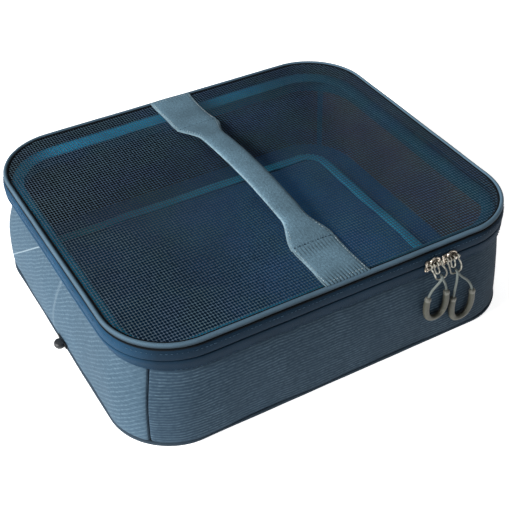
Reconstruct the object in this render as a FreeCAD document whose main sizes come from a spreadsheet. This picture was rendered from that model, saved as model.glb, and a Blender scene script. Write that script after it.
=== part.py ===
import FreeCAD, Part
import math
import os

import Sketcher
from FreeCAD import Vector

# Packing cube: a shallow, stiff-walled fabric case with a see-through mesh lid.
# Frame: origin at the middle of the base, X to the right, Y to the back, Z up, millimetres.
# The lid opens on a fabric hinge along the back; two sliders run on the zip along the front.

SIZES = [
    # plan at the base and, where the walls meet the zip band, at the rim: the walls lean in
    ("base_width", 356.0),
    ("base_depth", 303.0),
    ("base_corner_radius", 52.5),
    ("rim_width", 349.0),
    ("rim_depth", 296.0),
    ("rim_corner_radius", 55.0),
    ("rim_height", 100.0),
    ("layer_gap", 0.1),
    ("seam_gap", 0.3),
    ("cutter_margin", 10.0),
    # base
    ("base_piping_diameter", 3.0),
    ("bottom_thickness", 1.0),
    ("board_thickness", 1.5),
    ("floor_lining_thickness", 0.6),
    ("pad_inset", 29.0),
    ("pad_thickness", 1.6),
    ("pad_binding_width", 9.0),
    ("binding_thickness", 0.5),
    # walls
    ("shell_thickness", 1.0),
    ("foam_thickness", 4.0),
    ("lining_thickness", 0.8),
    ("seam_flap_rise", 2.6),
    ("seam_flap_drop", 2.4),
    ("seam_flap_width", 11.0),
    ("seam_flap_thickness", 1.8),
    # zip band, measured down from the rim
    ("piping_diameter", 4.0),
    ("piping_inset", 1.0),
    ("zip_drop", 15.8),
    ("band_height", 24.6),
    ("zip_slit", 1.0),
    ("tape_outset", 1.6),
    ("tape_thickness", 1.0),
    ("coil_thickness", 2.6),
    ("coil_height", 2.1),
    ("rear_band_length", 236.0),
    ("end_stop_length", 3.0),
    # lid
    ("mesh_thickness", 1.0),
    ("lid_binding_thickness", 1.8),
    ("lid_binding_height", 6.0),
    ("hinge_clearance", 0.35),
    # handle
    ("anchor_width", 39.0),
    ("anchor_length", 51.0),
    ("webbing_thickness", 1.8),
    ("grip_width", 22.0),
    ("grip_thickness", 4.0),
    ("grip_rise", 7.5),
    # sliders and pulls
    ("left_slider_x", 75.5),
    ("right_slider_x", 91.5),
    ("slider_length", 14.0),
    ("slider_width", 9.6),
    ("slider_corner", 2.6),
    ("plate_thickness", 1.5),
    ("slider_clearance", 0.35),
    ("web_thickness", 0.4),
    ("web_length", 6.0),
    ("rod_radius", 0.95),
    ("rod_length", 14.0),
    ("rod_stand_off", 3.1),
    ("rod_above_slit", 1.8),
    ("lug_width", 1.8),
    ("lug_wall", 0.7),
    ("lug_spacing", 7.0),
    ("eye_width", 1.6),
    ("eye_spacing", 11.0),
    ("eye_wall", 0.8),
    ("eye_fit", 0.1),
    ("wire_radius", 0.7),
    ("wire_drop", 17.0),
    ("left_wire_shift", 8.0),
    ("right_wire_shift", 6.0),
    ("cord_radius", 1.0),
    ("grip_radius", 2.5),
    # lash tab low on the left wall
    ("lash_y", -6.0),
    ("lash_strap_length", 17.0),
    ("lash_strap_height", 5.0),
    ("lash_strap_thickness", 1.6),
    ("lash_tab_reach", 8.0),
    ("lash_tab_width", 10.0),
    ("lash_tab_thickness", 3.6),
    ("lash_tab_corner", 3.6),
    ("lash_hole_radius", 1.8),
]

doc = FreeCAD.newDocument("packing_cube")
sheet = doc.addObject("Spreadsheet::Sheet", "sizes")
for row, (alias, number) in enumerate(SIZES, start=1):
    sheet.set(f"A{row}", alias)
    sheet.set(f"B{row}", str(number))
    sheet.setAlias(f"B{row}", alias)
doc.recompute()

# Heights and faces that several pieces share, as formulas on the sheet.
HALF_WIDTH = "sizes.rim_width / 2"
HALF_DEPTH = "sizes.rim_depth / 2"
ZIP_LINE = "(sizes.rim_height - sizes.zip_drop)"
SLIT_TOP = f"({ZIP_LINE} + sizes.zip_slit / 2)"
SLIT_BOTTOM = f"({ZIP_LINE} - sizes.zip_slit / 2)"
BAND_TOP = "(sizes.rim_height - sizes.piping_diameter)"
BAND_BOTTOM = f"({BAND_TOP} - sizes.band_height)"
PIPING_CENTRE = "(sizes.rim_height - sizes.piping_diameter / 2)"
MESH_TOP = f"({PIPING_CENTRE} + sizes.mesh_thickness / 2)"
SHELL_BOTTOM = "(sizes.base_piping_diameter + sizes.layer_gap)"
WALL_TOP = f"({BAND_BOTTOM} - sizes.seam_gap)"
BOARD_BOTTOM = "(sizes.bottom_thickness + sizes.layer_gap)"
BOARD_TOP = f"({BOARD_BOTTOM} + sizes.board_thickness)"
FLOOR_TOP = f"({BOARD_TOP} + sizes.layer_gap + sizes.floor_lining_thickness)"
LINING_BOTTOM = f"({FLOOR_TOP} + sizes.layer_gap)"
PAD_BOTTOM = LINING_BOTTOM
PAD_TOP = f"({PAD_BOTTOM} + 2 * sizes.binding_thickness + sizes.pad_thickness + 2 * sizes.layer_gap)"
FOAM_INSET = "(sizes.shell_thickness + sizes.layer_gap)"
LINING_INSET = f"({FOAM_INSET} + sizes.foam_thickness + sizes.layer_gap)"
WALL_INSET = f"({LINING_INSET} + sizes.lining_thickness)"
FLAP_TOP = f"({ZIP_LINE} + sizes.seam_flap_rise)"
TAPE_INNER = "(sizes.tape_thickness - sizes.tape_outset)"
COIL_OUTER = f"({TAPE_INNER} + sizes.layer_gap)"
COIL_INNER = f"({COIL_OUTER} + sizes.coil_thickness)"
ROD_Z = f"({ZIP_LINE} + sizes.rod_above_slit)"
PLATE_FACE = "(sizes.tape_outset + sizes.slider_clearance + sizes.plate_thickness)"
ROD_Y = f"(-{HALF_DEPTH} - {PLATE_FACE} - sizes.rod_stand_off)"

SUB_PARTS = []


def value(formula):
    """The number that a formula on the sheet gives now."""
    return float(sheet.evalExpression(formula))


def keep(piece, label):
    """Name a finished sub-part and put it on the list that is exported."""
    piece.Label = label
    SUB_PARTS.append(piece)
    return piece


def new_body(name):
    return doc.addObject("PartDesign::Body", name)


def sketch_on(body, role, name):
    """A sketch on one of the body's own origin planes."""
    plane = next(item for item in body.Origin.OriginFeatures if item.Role == role)
    sketch = body.newObject("Sketcher::SketchObject", name)
    sketch.AttachmentSupport = [(plane, "")]
    sketch.MapMode = "FlatFace"
    return sketch


def bound(sketch, constraint, name, formula):
    """Add a sized constraint and bind it to a formula on the sheet."""
    index = sketch.addConstraint(constraint)
    sketch.renameConstraint(index, name)
    sketch.setExpression(f"Constraints.{name}", formula)


def rounded_rectangle(sketch, tag, width, length, radius):
    """A centred rounded rectangle: four corner arcs, then the four sides between them."""
    size_x = value(width)
    size_y = value(length)
    size_r = value(radius)
    centre_x = size_x / 2 - size_r
    centre_y = size_y / 2 - size_r
    centres = [(centre_x, centre_y), (-centre_x, centre_y)]
    centres += [(-centre_x, -centre_y), (centre_x, -centre_y)]
    first = sketch.GeometryCount
    arcs = []
    for quarter, (x, y) in enumerate(centres):
        circle = Part.Circle(Vector(x, y, 0), Vector(0, 0, 1), size_r)
        start = quarter * math.pi / 2
        arcs.append(Part.ArcOfCircle(circle, start, start + math.pi / 2))
    for arc in arcs:
        sketch.addGeometry(arc)
    for quarter in range(4):
        side = Part.LineSegment(arcs[quarter].EndPoint, arcs[(quarter + 1) % 4].StartPoint)
        sketch.addGeometry(side)
    for quarter in range(4):
        arc = first + quarter
        side = first + 4 + quarter
        next_arc = first + (quarter + 1) % 4
        sketch.addConstraint(Sketcher.Constraint("Tangent", arc, 2, side, 1))
        sketch.addConstraint(Sketcher.Constraint("Tangent", side, 2, next_arc, 1))
        direction = "Horizontal" if quarter % 2 == 0 else "Vertical"
        sketch.addConstraint(Sketcher.Constraint(direction, side))
        if quarter > 0:
            sketch.addConstraint(Sketcher.Constraint("Equal", first, arc))
    sketch.addConstraint(Sketcher.Constraint("Symmetric", first, 3, first + 2, 3, -1, 1))
    bound(sketch, Sketcher.Constraint("Radius", first, size_r), tag + "_radius", radius)
    across = Sketcher.Constraint("DistanceX", first + 5, 1, first + 7, 1, size_x)
    bound(sketch, across, tag + "_width", width)
    along = Sketcher.Constraint("DistanceY", first + 6, 1, first + 4, 1, size_y)
    bound(sketch, along, tag + "_length", length)


def plan_outline(sketch, tag, level, inset):
    """The case's plan outline at the rim or at the base, moved in by an inset all round."""
    width = f"sizes.{level}_width - 2 * ({inset})"
    length = f"sizes.{level}_depth - 2 * ({inset})"
    rounded_rectangle(sketch, tag, width, length, f"sizes.{level}_corner_radius - ({inset})")


def wall_outline(sketch, tag, height, inset):
    """The plan outline of the leaning walls at a height, moved in by an inset all round."""
    share = f"({height}) / {BAND_BOTTOM}"
    sizes = []
    for name, change in (("width", 2), ("depth", 2), ("corner_radius", 1)):
        at_base = f"sizes.base_{name}"
        lean = f"(sizes.rim_{name} - {at_base}) * {share}"
        sizes.append(f"{at_base} + {lean} - {change} * ({inset})")
    rounded_rectangle(sketch, tag, *sizes)


def polygon(sketch, tag, points):
    """A closed polygon whose corners are each bound to two formulas."""
    first = sketch.GeometryCount
    places = [Vector(value(x), value(y), 0) for x, y in points]
    count = len(points)
    for index in range(count):
        sketch.addGeometry(Part.LineSegment(places[index], places[(index + 1) % count]))
    for index in range(count):
        following = first + (index + 1) % count
        sketch.addConstraint(Sketcher.Constraint("Coincident", first + index, 2, following, 1))
    for index, (x, y) in enumerate(points):
        for axis, formula, number in (("X", x, places[index].x), ("Y", y, places[index].y)):
            distance = Sketcher.Constraint("Distance" + axis, -1, 1, first + index, 1, number)
            bound(sketch, distance, f"{tag}_{axis.lower()}{index}", formula)


def pad(body, sketch, length, midplane=False):
    feature = body.newObject("PartDesign::Pad", sketch.Name + "_pad")
    feature.Profile = sketch
    feature.SideType = "Symmetric" if midplane else "One side"
    feature.setExpression("Length", length)
    return feature


def plate(name, level, inset, bottom, top):
    """A flat sheet with the case's plan outline, between two heights."""
    body = new_body(name)
    sketch = sketch_on(body, "XY_Plane", name + "_outline")
    plan_outline(sketch, "edge", level, inset)
    pad(body, sketch, f"{top} - {bottom}")
    body.setExpression("Placement.Base.z", bottom)
    return body


def ring(name, level, outer_inset, inner_inset, bottom, top):
    """An upright band that follows the case's plan, between two insets and two heights."""
    body = new_body(name)
    sketch = sketch_on(body, "XY_Plane", name + "_outline")
    plan_outline(sketch, "outer", level, outer_inset)
    plan_outline(sketch, "inner", level, inner_inset)
    pad(body, sketch, f"{top} - {bottom}")
    body.setExpression("Placement.Base.z", bottom)
    return body


def leaning_ring(name, outer_inset, inner_inset, bottom, top):
    """A band of the leaning walls: an outer loft between two heights, less an inner one."""
    body = new_body(name)
    for kind, inset in (("Additive", outer_inset), ("Subtractive", inner_inset)):
        outlines = []
        for place, height in (("bottom", bottom), ("top", top)):
            sketch = sketch_on(body, "XY_Plane", f"{name}_{kind}_{place}")
            wall_outline(sketch, "edge", height, inset)
            sketch.setExpression("AttachmentOffset.Base.z", height)
            outlines.append(sketch)
        loft = body.newObject(f"PartDesign::{kind}Loft", f"{name}_{kind}_loft")
        loft.Profile = outlines[0]
        loft.Sections = outlines[1:]
        loft.Ruled = True
    return body


def swept_ring(name, level, inset):
    """A body with the plan outline as its path and an empty profile across its right side."""
    body = new_body(name)
    path = sketch_on(body, "XY_Plane", name + "_path")
    plan_outline(path, "path", level, inset)
    profile = sketch_on(body, "XZ_Plane", name + "_profile")
    start = f"sizes.{level}_corner_radius - sizes.{level}_depth / 2"
    profile.setExpression("AttachmentOffset.Base.z", start)
    return body, path, profile


def sweep(body, path, profile):
    pipe = body.newObject("PartDesign::AdditivePipe", profile.Name + "_pipe")
    pipe.Profile = profile
    pipe.Spine = (path, [f"Edge{number}" for number in range(1, 9)])
    return body


def piping(name, level, inset, diameter, height):
    """A round cord that follows the plan outline, with its centre at an inset and a height."""
    body, path, profile = swept_ring(name, level, inset)
    radius = f"{diameter} / 2"
    centre = f"sizes.{level}_width / 2 - {inset}"
    circle = Part.Circle(Vector(value(centre), 0, 0), Vector(0, 0, 1), value(radius))
    profile.addGeometry(circle)
    profile.addConstraint(Sketcher.Constraint("PointOnObject", 0, 3, -1))
    bound(profile, Sketcher.Constraint("Radius", 0, value(radius)), "cord_radius", radius)
    across = Sketcher.Constraint("DistanceX", -1, 1, 0, 3, value(centre))
    bound(profile, across, "cord_x", centre)
    sweep(body, path, profile)
    body.setExpression("Placement.Base.z", height)
    return body


def box(name, low, high):
    """A block between two corners, each given by three formulas."""
    block = doc.addObject("Part::Box", name)
    for side, axis, start, end in zip(("Length", "Width", "Height"), "xyz", low, high):
        block.setExpression(side, f"({end}) - ({start})")
        block.setExpression("Placement.Base." + axis, start)
    return block


def cylinder_x(name, radius, centre, length):
    """A round bar along X, centred on three formulas."""
    bar = doc.addObject("Part::Cylinder", name)
    bar.setExpression("Radius", radius)
    bar.setExpression("Height", length)
    bar.Placement.Rotation = FreeCAD.Rotation(Vector(0, 1, 0), 90)
    bar.setExpression("Placement.Base.x", f"{centre[0]} - ({length}) / 2")
    bar.setExpression("Placement.Base.y", centre[1])
    bar.setExpression("Placement.Base.z", centre[2])
    return bar


def combine(kind, name, first, second):
    """A Cut or a Common of two objects."""
    result = doc.addObject("Part::" + kind, name)
    result.Base = first
    result.Tool = second
    return result


def fuse(name, pieces):
    result = doc.addObject("Part::MultiFuse", name)
    result.Shapes = pieces
    return result


def corner_arc(before, corner, after):
    """The largest allowed arc at a corner of a route: its radius and its two ends."""
    back = before - corner
    ahead = after - corner
    half_turn = (math.pi - back.getAngle(ahead)) / 2
    tangent = 0.45 * min(back.Length, ahead.Length)
    start = corner + Vector(back).normalize() * tangent
    end = corner + Vector(ahead).normalize() * tangent
    radius = tangent / math.tan(half_turn)
    to_middle = ((start + end) * 0.5 - corner).normalize()
    middle = corner + to_middle * (radius / math.cos(half_turn) - radius)
    return radius, start, middle, end


def tube(points, radius):
    """A round solid along a route of straight runs joined by tangent arcs."""
    edges = []
    radii = []
    here = points[0]
    for index in range(1, len(points) - 1):
        arc_radius, start, middle, end = corner_arc(*points[index - 1:index + 2])
        edges.append(Part.LineSegment(here, start).toShape())
        edges.append(Part.Arc(start, middle, end).toShape())
        radii.append(round(arc_radius, 2))
        here = end
    edges.append(Part.LineSegment(here, points[-1]).toShape())
    route = Part.Wire(edges)
    section = Part.Wire([Part.makeCircle(radius, points[0], points[1] - points[0])])
    solid = route.makePipeShell([section], True, False)
    expected = math.pi * radius ** 2 * route.Length
    return solid, radii, route.Length, solid.Volume / expected


def tube_feature(name, points, radius):
    """A tube as an object of the document; prints its arcs so that they can be checked."""
    solid, radii, length, ratio = tube(points, radius)
    feature = doc.addObject("Part::Feature", name)
    feature.Shape = solid
    print(f"{name}: length {length:.1f}, volume ratio {ratio:.4f}, arc radii {radii}")
    return feature


# ---------------------------------------------------------------- base and floor

def add_base():
    radius = "sizes.base_piping_diameter / 2"
    cord = piping("base_piping_body", "base", radius, "sizes.base_piping_diameter", radius)
    keep(cord, "base_piping")
    layers = {
        "bottom_panel": ("0", "sizes.bottom_thickness"),
        "bottom_board": (BOARD_BOTTOM, BOARD_TOP),
        "floor_lining": (f"({BOARD_TOP} + sizes.layer_gap)", FLOOR_TOP),
    }
    inside_piping = "(sizes.base_piping_diameter + sizes.layer_gap)"
    for label, (bottom, top) in layers.items():
        keep(plate(label + "_body", "base", inside_piping, bottom, top), label)


def add_floor_pad():
    """A padded floor panel whose edge is wrapped in a folded binding tape."""
    inner = "(sizes.pad_inset + sizes.pad_binding_width)"
    folded = ring("pad_binding_block", "base", "sizes.pad_inset", inner, PAD_BOTTOM, PAD_TOP)
    slot_inset = "(sizes.pad_inset + sizes.binding_thickness)"
    slot_bottom = f"({PAD_BOTTOM} + sizes.binding_thickness)"
    slot_top = f"({PAD_TOP} - sizes.binding_thickness)"
    past_inner = f"({inner} + sizes.seam_gap)"
    slot = ring("pad_binding_slot", "base", slot_inset, past_inner, slot_bottom, slot_top)
    keep(combine("Cut", "pad_binding_cut", folded, slot), "floor_pad_binding")
    pad_inset = f"({slot_inset} + sizes.layer_gap)"
    pad_bottom = f"({slot_bottom} + sizes.layer_gap)"
    pad_top = f"({slot_top} - sizes.layer_gap)"
    keep(plate("floor_pad_body", "base", pad_inset, pad_bottom, pad_top), "floor_pad")


# ---------------------------------------------------------------- walls

def panel_sector(name, side):
    """A prism that takes one wall panel out of a ring: panels meet halfway round each corner."""
    centre_x = f"({HALF_WIDTH} - sizes.rim_corner_radius)"
    centre_y = f"({HALF_DEPTH} - sizes.rim_corner_radius)"
    reach = "(sizes.rim_corner_radius + sizes.cutter_margin)"
    wide = f"({centre_x} + {reach})"
    deep = f"({centre_y} + {reach})"
    gap = "sizes.seam_gap"
    outlines = {
        "front": [(f"-{wide}", f"-{deep} - {gap}"), (wide, f"-{deep} - {gap}"),
                  (centre_x, f"-{centre_y} - {gap}"), (f"-{centre_x}", f"-{centre_y} - {gap}")],
        "back": [(f"-{wide}", f"{deep} + {gap}"), (f"-{centre_x}", f"{centre_y} + {gap}"),
                 (centre_x, f"{centre_y} + {gap}"), (wide, f"{deep} + {gap}")],
        "left": [(f"-{wide}", f"-{deep}"), (f"-{centre_x}", f"-{centre_y}"),
                 (f"-{centre_x}", centre_y), (f"-{wide}", deep)],
        "right": [(wide, f"-{deep}"), (wide, deep), (centre_x, centre_y), (centre_x, f"-{centre_y}")],
    }
    body = new_body(name)
    sketch = sketch_on(body, "XY_Plane", name + "_outline")
    polygon(sketch, "corner", outlines[side])
    pad(body, sketch, "sizes.rim_height")
    return body


def add_walls():
    """Shell, foam and lining rings, each split into four panels."""
    layers = {
        "shell": ("0", "sizes.shell_thickness", SHELL_BOTTOM, WALL_TOP),
        "foam": (FOAM_INSET, f"{FOAM_INSET} + sizes.foam_thickness", LINING_BOTTOM, WALL_TOP),
        "lining": (LINING_INSET, WALL_INSET, LINING_BOTTOM, WALL_TOP),
    }
    for layer, (outer, inner, bottom, top) in layers.items():
        for side in ("front", "back", "left", "right"):
            name = f"{side}_{layer}"
            band = leaning_ring(name + "_ring", outer, inner, bottom, top)
            sector = panel_sector(name + "_sector", side)
            keep(combine("Common", name + "_panel", band, sector), f"{side}_wall_{layer}")


def add_seam_flap():
    """The bound seam allowance inside the rim: a short stem on the lining, folded in and down."""
    body, path, profile = swept_ring("seam_flap_body", "rim", "0")
    outer_x = f"({HALF_WIDTH} - {LINING_INSET})"
    stem_x = f"({outer_x} - sizes.lining_thickness)"
    inner_x = f"({outer_x} - sizes.seam_flap_width)"
    inner_top = f"({FLAP_TOP} - sizes.seam_flap_drop)"
    corners = [(outer_x, FLAP_TOP), (inner_x, inner_top)]
    corners += [(inner_x, f"{inner_top} - sizes.seam_flap_thickness")]
    corners += [(stem_x, f"{FLAP_TOP} - 2 * sizes.seam_flap_thickness")]
    corners += [(stem_x, BAND_BOTTOM), (outer_x, BAND_BOTTOM)]
    polygon(profile, "strip", corners)
    keep(sweep(body, path, profile), "wall_seam_binding")


# ---------------------------------------------------------------- zip and lid

def rear_block(name, half_length, bottom, top):
    """The stretch of the back wall between the two ends of the zip."""
    low = (f"-{half_length}", "0", bottom)
    high = (half_length, f"{HALF_DEPTH} + sizes.cutter_margin", top)
    return box(name, low, high)


def add_zip():
    """Tape, coil and rear hinge band, once below the slit and once above it."""
    half = "(sizes.rear_band_length / 2)"
    inside = f"({half} - sizes.seam_gap)"
    bands = {
        "lower": (BAND_BOTTOM, SLIT_BOTTOM, f"({SLIT_BOTTOM} - sizes.coil_height)", SLIT_BOTTOM),
        "upper": (SLIT_TOP, BAND_TOP, SLIT_TOP, f"({SLIT_TOP} + sizes.coil_height)"),
    }
    for level, (bottom, top, coil_bottom, coil_top) in bands.items():
        low = f"({bottom} - sizes.cutter_margin)"
        high = f"({top} + sizes.cutter_margin)"
        tape = ring(level + "_tape_ring", "rim", "-sizes.tape_outset", TAPE_INNER, bottom, top)
        gap = rear_block(level + "_tape_gap", half, low, high)
        keep(combine("Cut", level + "_tape_cut", tape, gap), f"zipper_tape_{level}")
        coil = ring(level + "_coil_ring", "rim", COIL_OUTER, COIL_INNER, coil_bottom, coil_top)
        coil_gap = rear_block(level + "_coil_gap", f"({half} + sizes.end_stop_length)", low, high)
        keep(combine("Cut", level + "_coil_cut", coil, coil_gap), f"zipper_coil_{level}")
        hinge = ring(level + "_hinge_ring", "rim", "-sizes.tape_outset", TAPE_INNER, bottom, top)
        stretch = rear_block(level + "_hinge_block", inside, low, high)
        keep(combine("Common", level + "_hinge_band", hinge, stretch), f"rear_hinge_{level}")
    add_end_stops(half)


def add_end_stops(half):
    """Two small stops that close the lower coil where it meets the rear band."""
    stops = []
    for side, sign in (("left", "-1"), ("right", "1")):
        middle = f"{sign} * ({half} + sizes.end_stop_length / 2)"
        reach = "(sizes.end_stop_length / 2 - sizes.layer_gap)"
        low = (f"{middle} - {reach}", f"{HALF_DEPTH} - {COIL_INNER}", f"{SLIT_BOTTOM} - sizes.coil_height")
        high = (f"{middle} + {reach}", f"{HALF_DEPTH} - {COIL_OUTER}", SLIT_BOTTOM)
        stops.append(box(f"end_stop_{side}", low, high))
    keep(fuse("end_stop_pair", stops), "zipper_end_stops")


def add_lid():
    rim = piping("lid_piping_body", "rim", "sizes.piping_inset", "sizes.piping_diameter", PIPING_CENTRE)
    keep(rim, "lid_piping")
    inside = "(sizes.piping_inset + sizes.piping_diameter / 2 + sizes.layer_gap)"
    mesh_bottom = f"({MESH_TOP} - sizes.mesh_thickness)"
    keep(plate("lid_mesh_body", "rim", inside, mesh_bottom, MESH_TOP), "lid_mesh")
    top = f"({mesh_bottom} - sizes.layer_gap)"
    bottom = f"({top} - sizes.lid_binding_height)"
    inner = f"({inside} + sizes.lid_binding_thickness)"
    keep(ring("lid_binding_body", "rim", inside, inner, bottom, top), "lid_seam_binding")


# ---------------------------------------------------------------- handle

def add_handle_anchor(side, sign):
    """A sewn-down end of the webbing: flat on the mesh, then up over the rim piping."""
    body = new_body(f"{side}_anchor_body")
    sketch = sketch_on(body, "YZ_Plane", f"{side}_anchor_profile")
    outer = f"({HALF_DEPTH} - sizes.piping_inset)"
    inner = f"({outer} - sizes.anchor_length)"
    low = f"({MESH_TOP} + sizes.seam_gap)"
    high = "(sizes.rim_height + sizes.seam_gap)"
    step = f"({outer} - 2 * sizes.piping_diameter)"
    over = f"({outer} - sizes.piping_diameter)"
    route = [(inner, low), (step, low), (over, high), (outer, high)]
    corners = [(f"{sign} * {y}", z) for y, z in route]
    corners += [(f"{sign} * {y}", f"{z} + sizes.webbing_thickness") for y, z in reversed(route)]
    polygon(sketch, "web", corners)
    pad(body, sketch, "sizes.anchor_width", midplane=True)
    keep(body, f"handle_{side}_anchor")


def add_handle_grip():
    """The folded webbing between the anchors: a shallow arch over the mesh."""
    body = new_body("handle_grip_body")
    sketch = sketch_on(body, "YZ_Plane", "handle_grip_profile")
    half_span = (f"({HALF_DEPTH} - sizes.piping_inset - sizes.anchor_length - 2 * sizes.seam_gap)")
    start_z = f"({MESH_TOP} + 2 * sizes.seam_gap + sizes.webbing_thickness)"
    half = value(half_span)
    base = value(start_z)
    rise = value("sizes.grip_rise")
    thick = value("sizes.grip_thickness")
    lower = Part.Arc(Vector(-half, base, 0), Vector(0, base + rise, 0), Vector(half, base, 0))
    upper = Part.Arc(Vector(-half, base + thick, 0), Vector(0, base + rise + thick, 0),
                     Vector(half, base + thick, 0))
    sketch.addGeometry(lower)
    sketch.addGeometry(upper)
    sketch.addGeometry(Part.LineSegment(Vector(-half, base, 0), Vector(-half, base + thick, 0)))
    sketch.addGeometry(Part.LineSegment(Vector(half, base, 0), Vector(half, base + thick, 0)))
    # Arcs run counter-clockwise, so each starts at its right-hand end (the back of the handle).
    for arc in (0, 1):
        sketch.addConstraint(Sketcher.Constraint("Coincident", arc, 1, 3, arc + 1))
        sketch.addConstraint(Sketcher.Constraint("Coincident", arc, 2, 2, arc + 1))
    sketch.addConstraint(Sketcher.Constraint("Vertical", 2))
    sketch.addConstraint(Sketcher.Constraint("Vertical", 3))
    sketch.addConstraint(Sketcher.Constraint("PointOnObject", 0, 3, -2))
    sketch.addConstraint(Sketcher.Constraint("PointOnObject", 1, 3, -2))
    bound(sketch, Sketcher.Constraint("DistanceX", 0, 2, 0, 1, 2 * half), "span", f"2 * {half_span}")
    bound(sketch, Sketcher.Constraint("DistanceY", -1, 1, 0, 1, base), "start_height", start_z)
    bound(sketch, Sketcher.Constraint("DistanceY", 2, 1, 2, 2, thick), "thickness", "sizes.grip_thickness")
    arch_radius = f"({half_span}^2 + sizes.grip_rise^2) / (2 * sizes.grip_rise)"
    bound(sketch, Sketcher.Constraint("Radius", 0, value(arch_radius)), "lower_radius", arch_radius)
    sketch.addConstraint(Sketcher.Constraint("Equal", 0, 1))
    pad(body, sketch, "sizes.grip_width", midplane=True)
    keep(body, "handle_grip")


# ---------------------------------------------------------------- sliders and pulls

def slider_plate(name, centre_x, outer_face):
    """A rounded plate of the slider that stands parallel to the front wall."""
    body = new_body(name)
    sketch = sketch_on(body, "XZ_Plane", name + "_outline")
    rounded_rectangle(sketch, "edge", "sizes.slider_length", "sizes.slider_width", "sizes.slider_corner")
    pad(body, sketch, "sizes.plate_thickness")
    body.setExpression("Placement.Base.x", centre_x)
    body.setExpression("Placement.Base.y", f"-{HALF_DEPTH} - {outer_face} + sizes.plate_thickness")
    body.setExpression("Placement.Base.z", ZIP_LINE)
    return body


def add_slider(side, centre_x):
    """The cast slider: two plates joined by a thin web in the slit, and two lugs for the rod."""
    inner_face = f"(-{COIL_INNER} - sizes.slider_clearance)"
    plates = [
        slider_plate(side + "_outer_plate", centre_x, PLATE_FACE),
        slider_plate(side + "_inner_plate", centre_x, inner_face),
    ]
    plate_middle = "(sizes.plate_thickness / 2)"
    web_low = (f"{centre_x} - sizes.web_length / 2", f"-{HALF_DEPTH} - {PLATE_FACE} + {plate_middle}",
               f"{ZIP_LINE} - sizes.web_thickness / 2")
    web_high = (f"{centre_x} + sizes.web_length / 2", f"-{HALF_DEPTH} - {inner_face} + {plate_middle}",
                f"{ZIP_LINE} + sizes.web_thickness / 2")
    pieces = plates + [box(side + "_web", web_low, web_high)]
    lug_half = "(sizes.rod_radius + sizes.lug_wall)"
    for end, sign in (("left", "-1"), ("right", "1")):
        middle = f"{centre_x} + {sign} * sizes.lug_spacing / 2"
        low = (f"{middle} - sizes.lug_width / 2", f"{ROD_Y} - {lug_half}", f"{ROD_Z} - {lug_half}")
        high = (f"{middle} + sizes.lug_width / 2", f"-{HALF_DEPTH} - {PLATE_FACE} + {plate_middle}",
                f"{ROD_Z} + {lug_half}")
        pieces.append(box(f"{side}_lug_{end}", low, high))
    casting = fuse(side + "_casting", pieces)
    rod_place = (centre_x, ROD_Y, ROD_Z)
    hole = cylinder_x(side + "_rod_hole", "sizes.rod_radius + sizes.eye_fit / 2", rod_place,
                      "2 * sizes.rod_length")
    keep(combine("Cut", side + "_slider_cut", casting, hole), f"{side}_slider_body")
    keep(cylinder_x(side + "_rod", "sizes.rod_radius", rod_place, "sizes.rod_length"),
         f"{side}_slider_bridge")


def add_wire_pull(side, centre_x):
    """A bent-wire loop that swings on the bridge rod by two round eyes and leans to the right."""
    rod_place = Vector(value(centre_x), value(ROD_Y), value(ROD_Z))
    half = value("sizes.eye_spacing / 2")
    drop = value("sizes.wire_drop")
    shift = value(f"sizes.{side}_wire_shift")
    top = value("sizes.rod_radius + sizes.eye_fit + sizes.eye_wall / 2")
    route = [(-half, -top), (shift - half, -drop), (shift + half, -drop), (half, -top)]
    points = [rod_place + Vector(x, 0, z) for x, z in route]
    pieces = [tube_feature(side + "_wire_loop", points, value("sizes.wire_radius"))]
    outer = "sizes.rod_radius + sizes.eye_fit + sizes.eye_wall"
    for end, sign in (("left", "-1"), ("right", "1")):
        place = (f"{centre_x} + {sign} * sizes.eye_spacing / 2", ROD_Y, ROD_Z)
        pieces.append(cylinder_x(f"{side}_eye_{end}", outer, place, "sizes.eye_width"))
    solid = fuse(side + "_wire_solid", pieces)
    bore = cylinder_x(side + "_eye_bore", "sizes.rod_radius + sizes.eye_fit",
                      (centre_x, ROD_Y, ROD_Z), "2 * sizes.rod_length")
    keep(combine("Cut", side + "_wire_cut", solid, bore), f"{side}_wire_pull")


# Routes from the middle of each wire's bottom bar: X to the right, Y to the back, Z up.
# Each cord rises from the grip's left arm, folds over the bar and goes down behind it.
CORD_ROUTES = {
    "left": [(-11.0, 0.0, -16.5), (-9.6, -0.4, -9.6), (-5.2, -2.0, -3.0), (-0.6, -2.5, 2.6),
             (0.6, 2.5, 2.6), (3.6, 2.0, -4.2), (6.4, 0.5, -10.2), (7.0, 0.0, -16.5)],
    "right": [(1.5, 0.0, -27.5), (1.4, -0.3, -19.5), (0.6, -2.0, -7.0), (-0.6, -2.5, 2.6),
              (0.6, 2.5, 2.6), (5.5, 2.0, -6.0), (18.6, 0.4, -18.5), (20.5, 0.0, -27.5)],
}
GRIP_ROUTES = {
    "left": [(-11.0, -16.5), (-12.6, -27.5), (-8.0, -39.4), (4.4, -39.4), (8.6, -27.5), (7.0, -16.5)],
    "right": [(1.5, -27.5), (0.2, -39.0), (4.6, -51.6), (17.4, -51.6), (22.0, -39.0), (20.5, -27.5)],
}


def add_pull_cord(side, centre_x):
    """A limp cord looped over the wire's bar, and the moulded grip that holds its two ends."""
    bar_x = value(f"{centre_x} + sizes.{side}_wire_shift")
    bar = Vector(bar_x, value(ROD_Y), value(f"{ROD_Z} - sizes.wire_drop"))
    cord_points = [bar + Vector(*point) for point in CORD_ROUTES[side]]
    cord = tube_feature(side + "_cord_tube", cord_points, value("sizes.cord_radius"))
    keep(cord, f"{side}_pull_cord")
    grip_points = [bar + Vector(x, 0, z) for x, z in GRIP_ROUTES[side]]
    grip = tube_feature(side + "_grip_tube", grip_points, value("sizes.grip_radius"))
    keep(grip, f"{side}_pull_grip")


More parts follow.
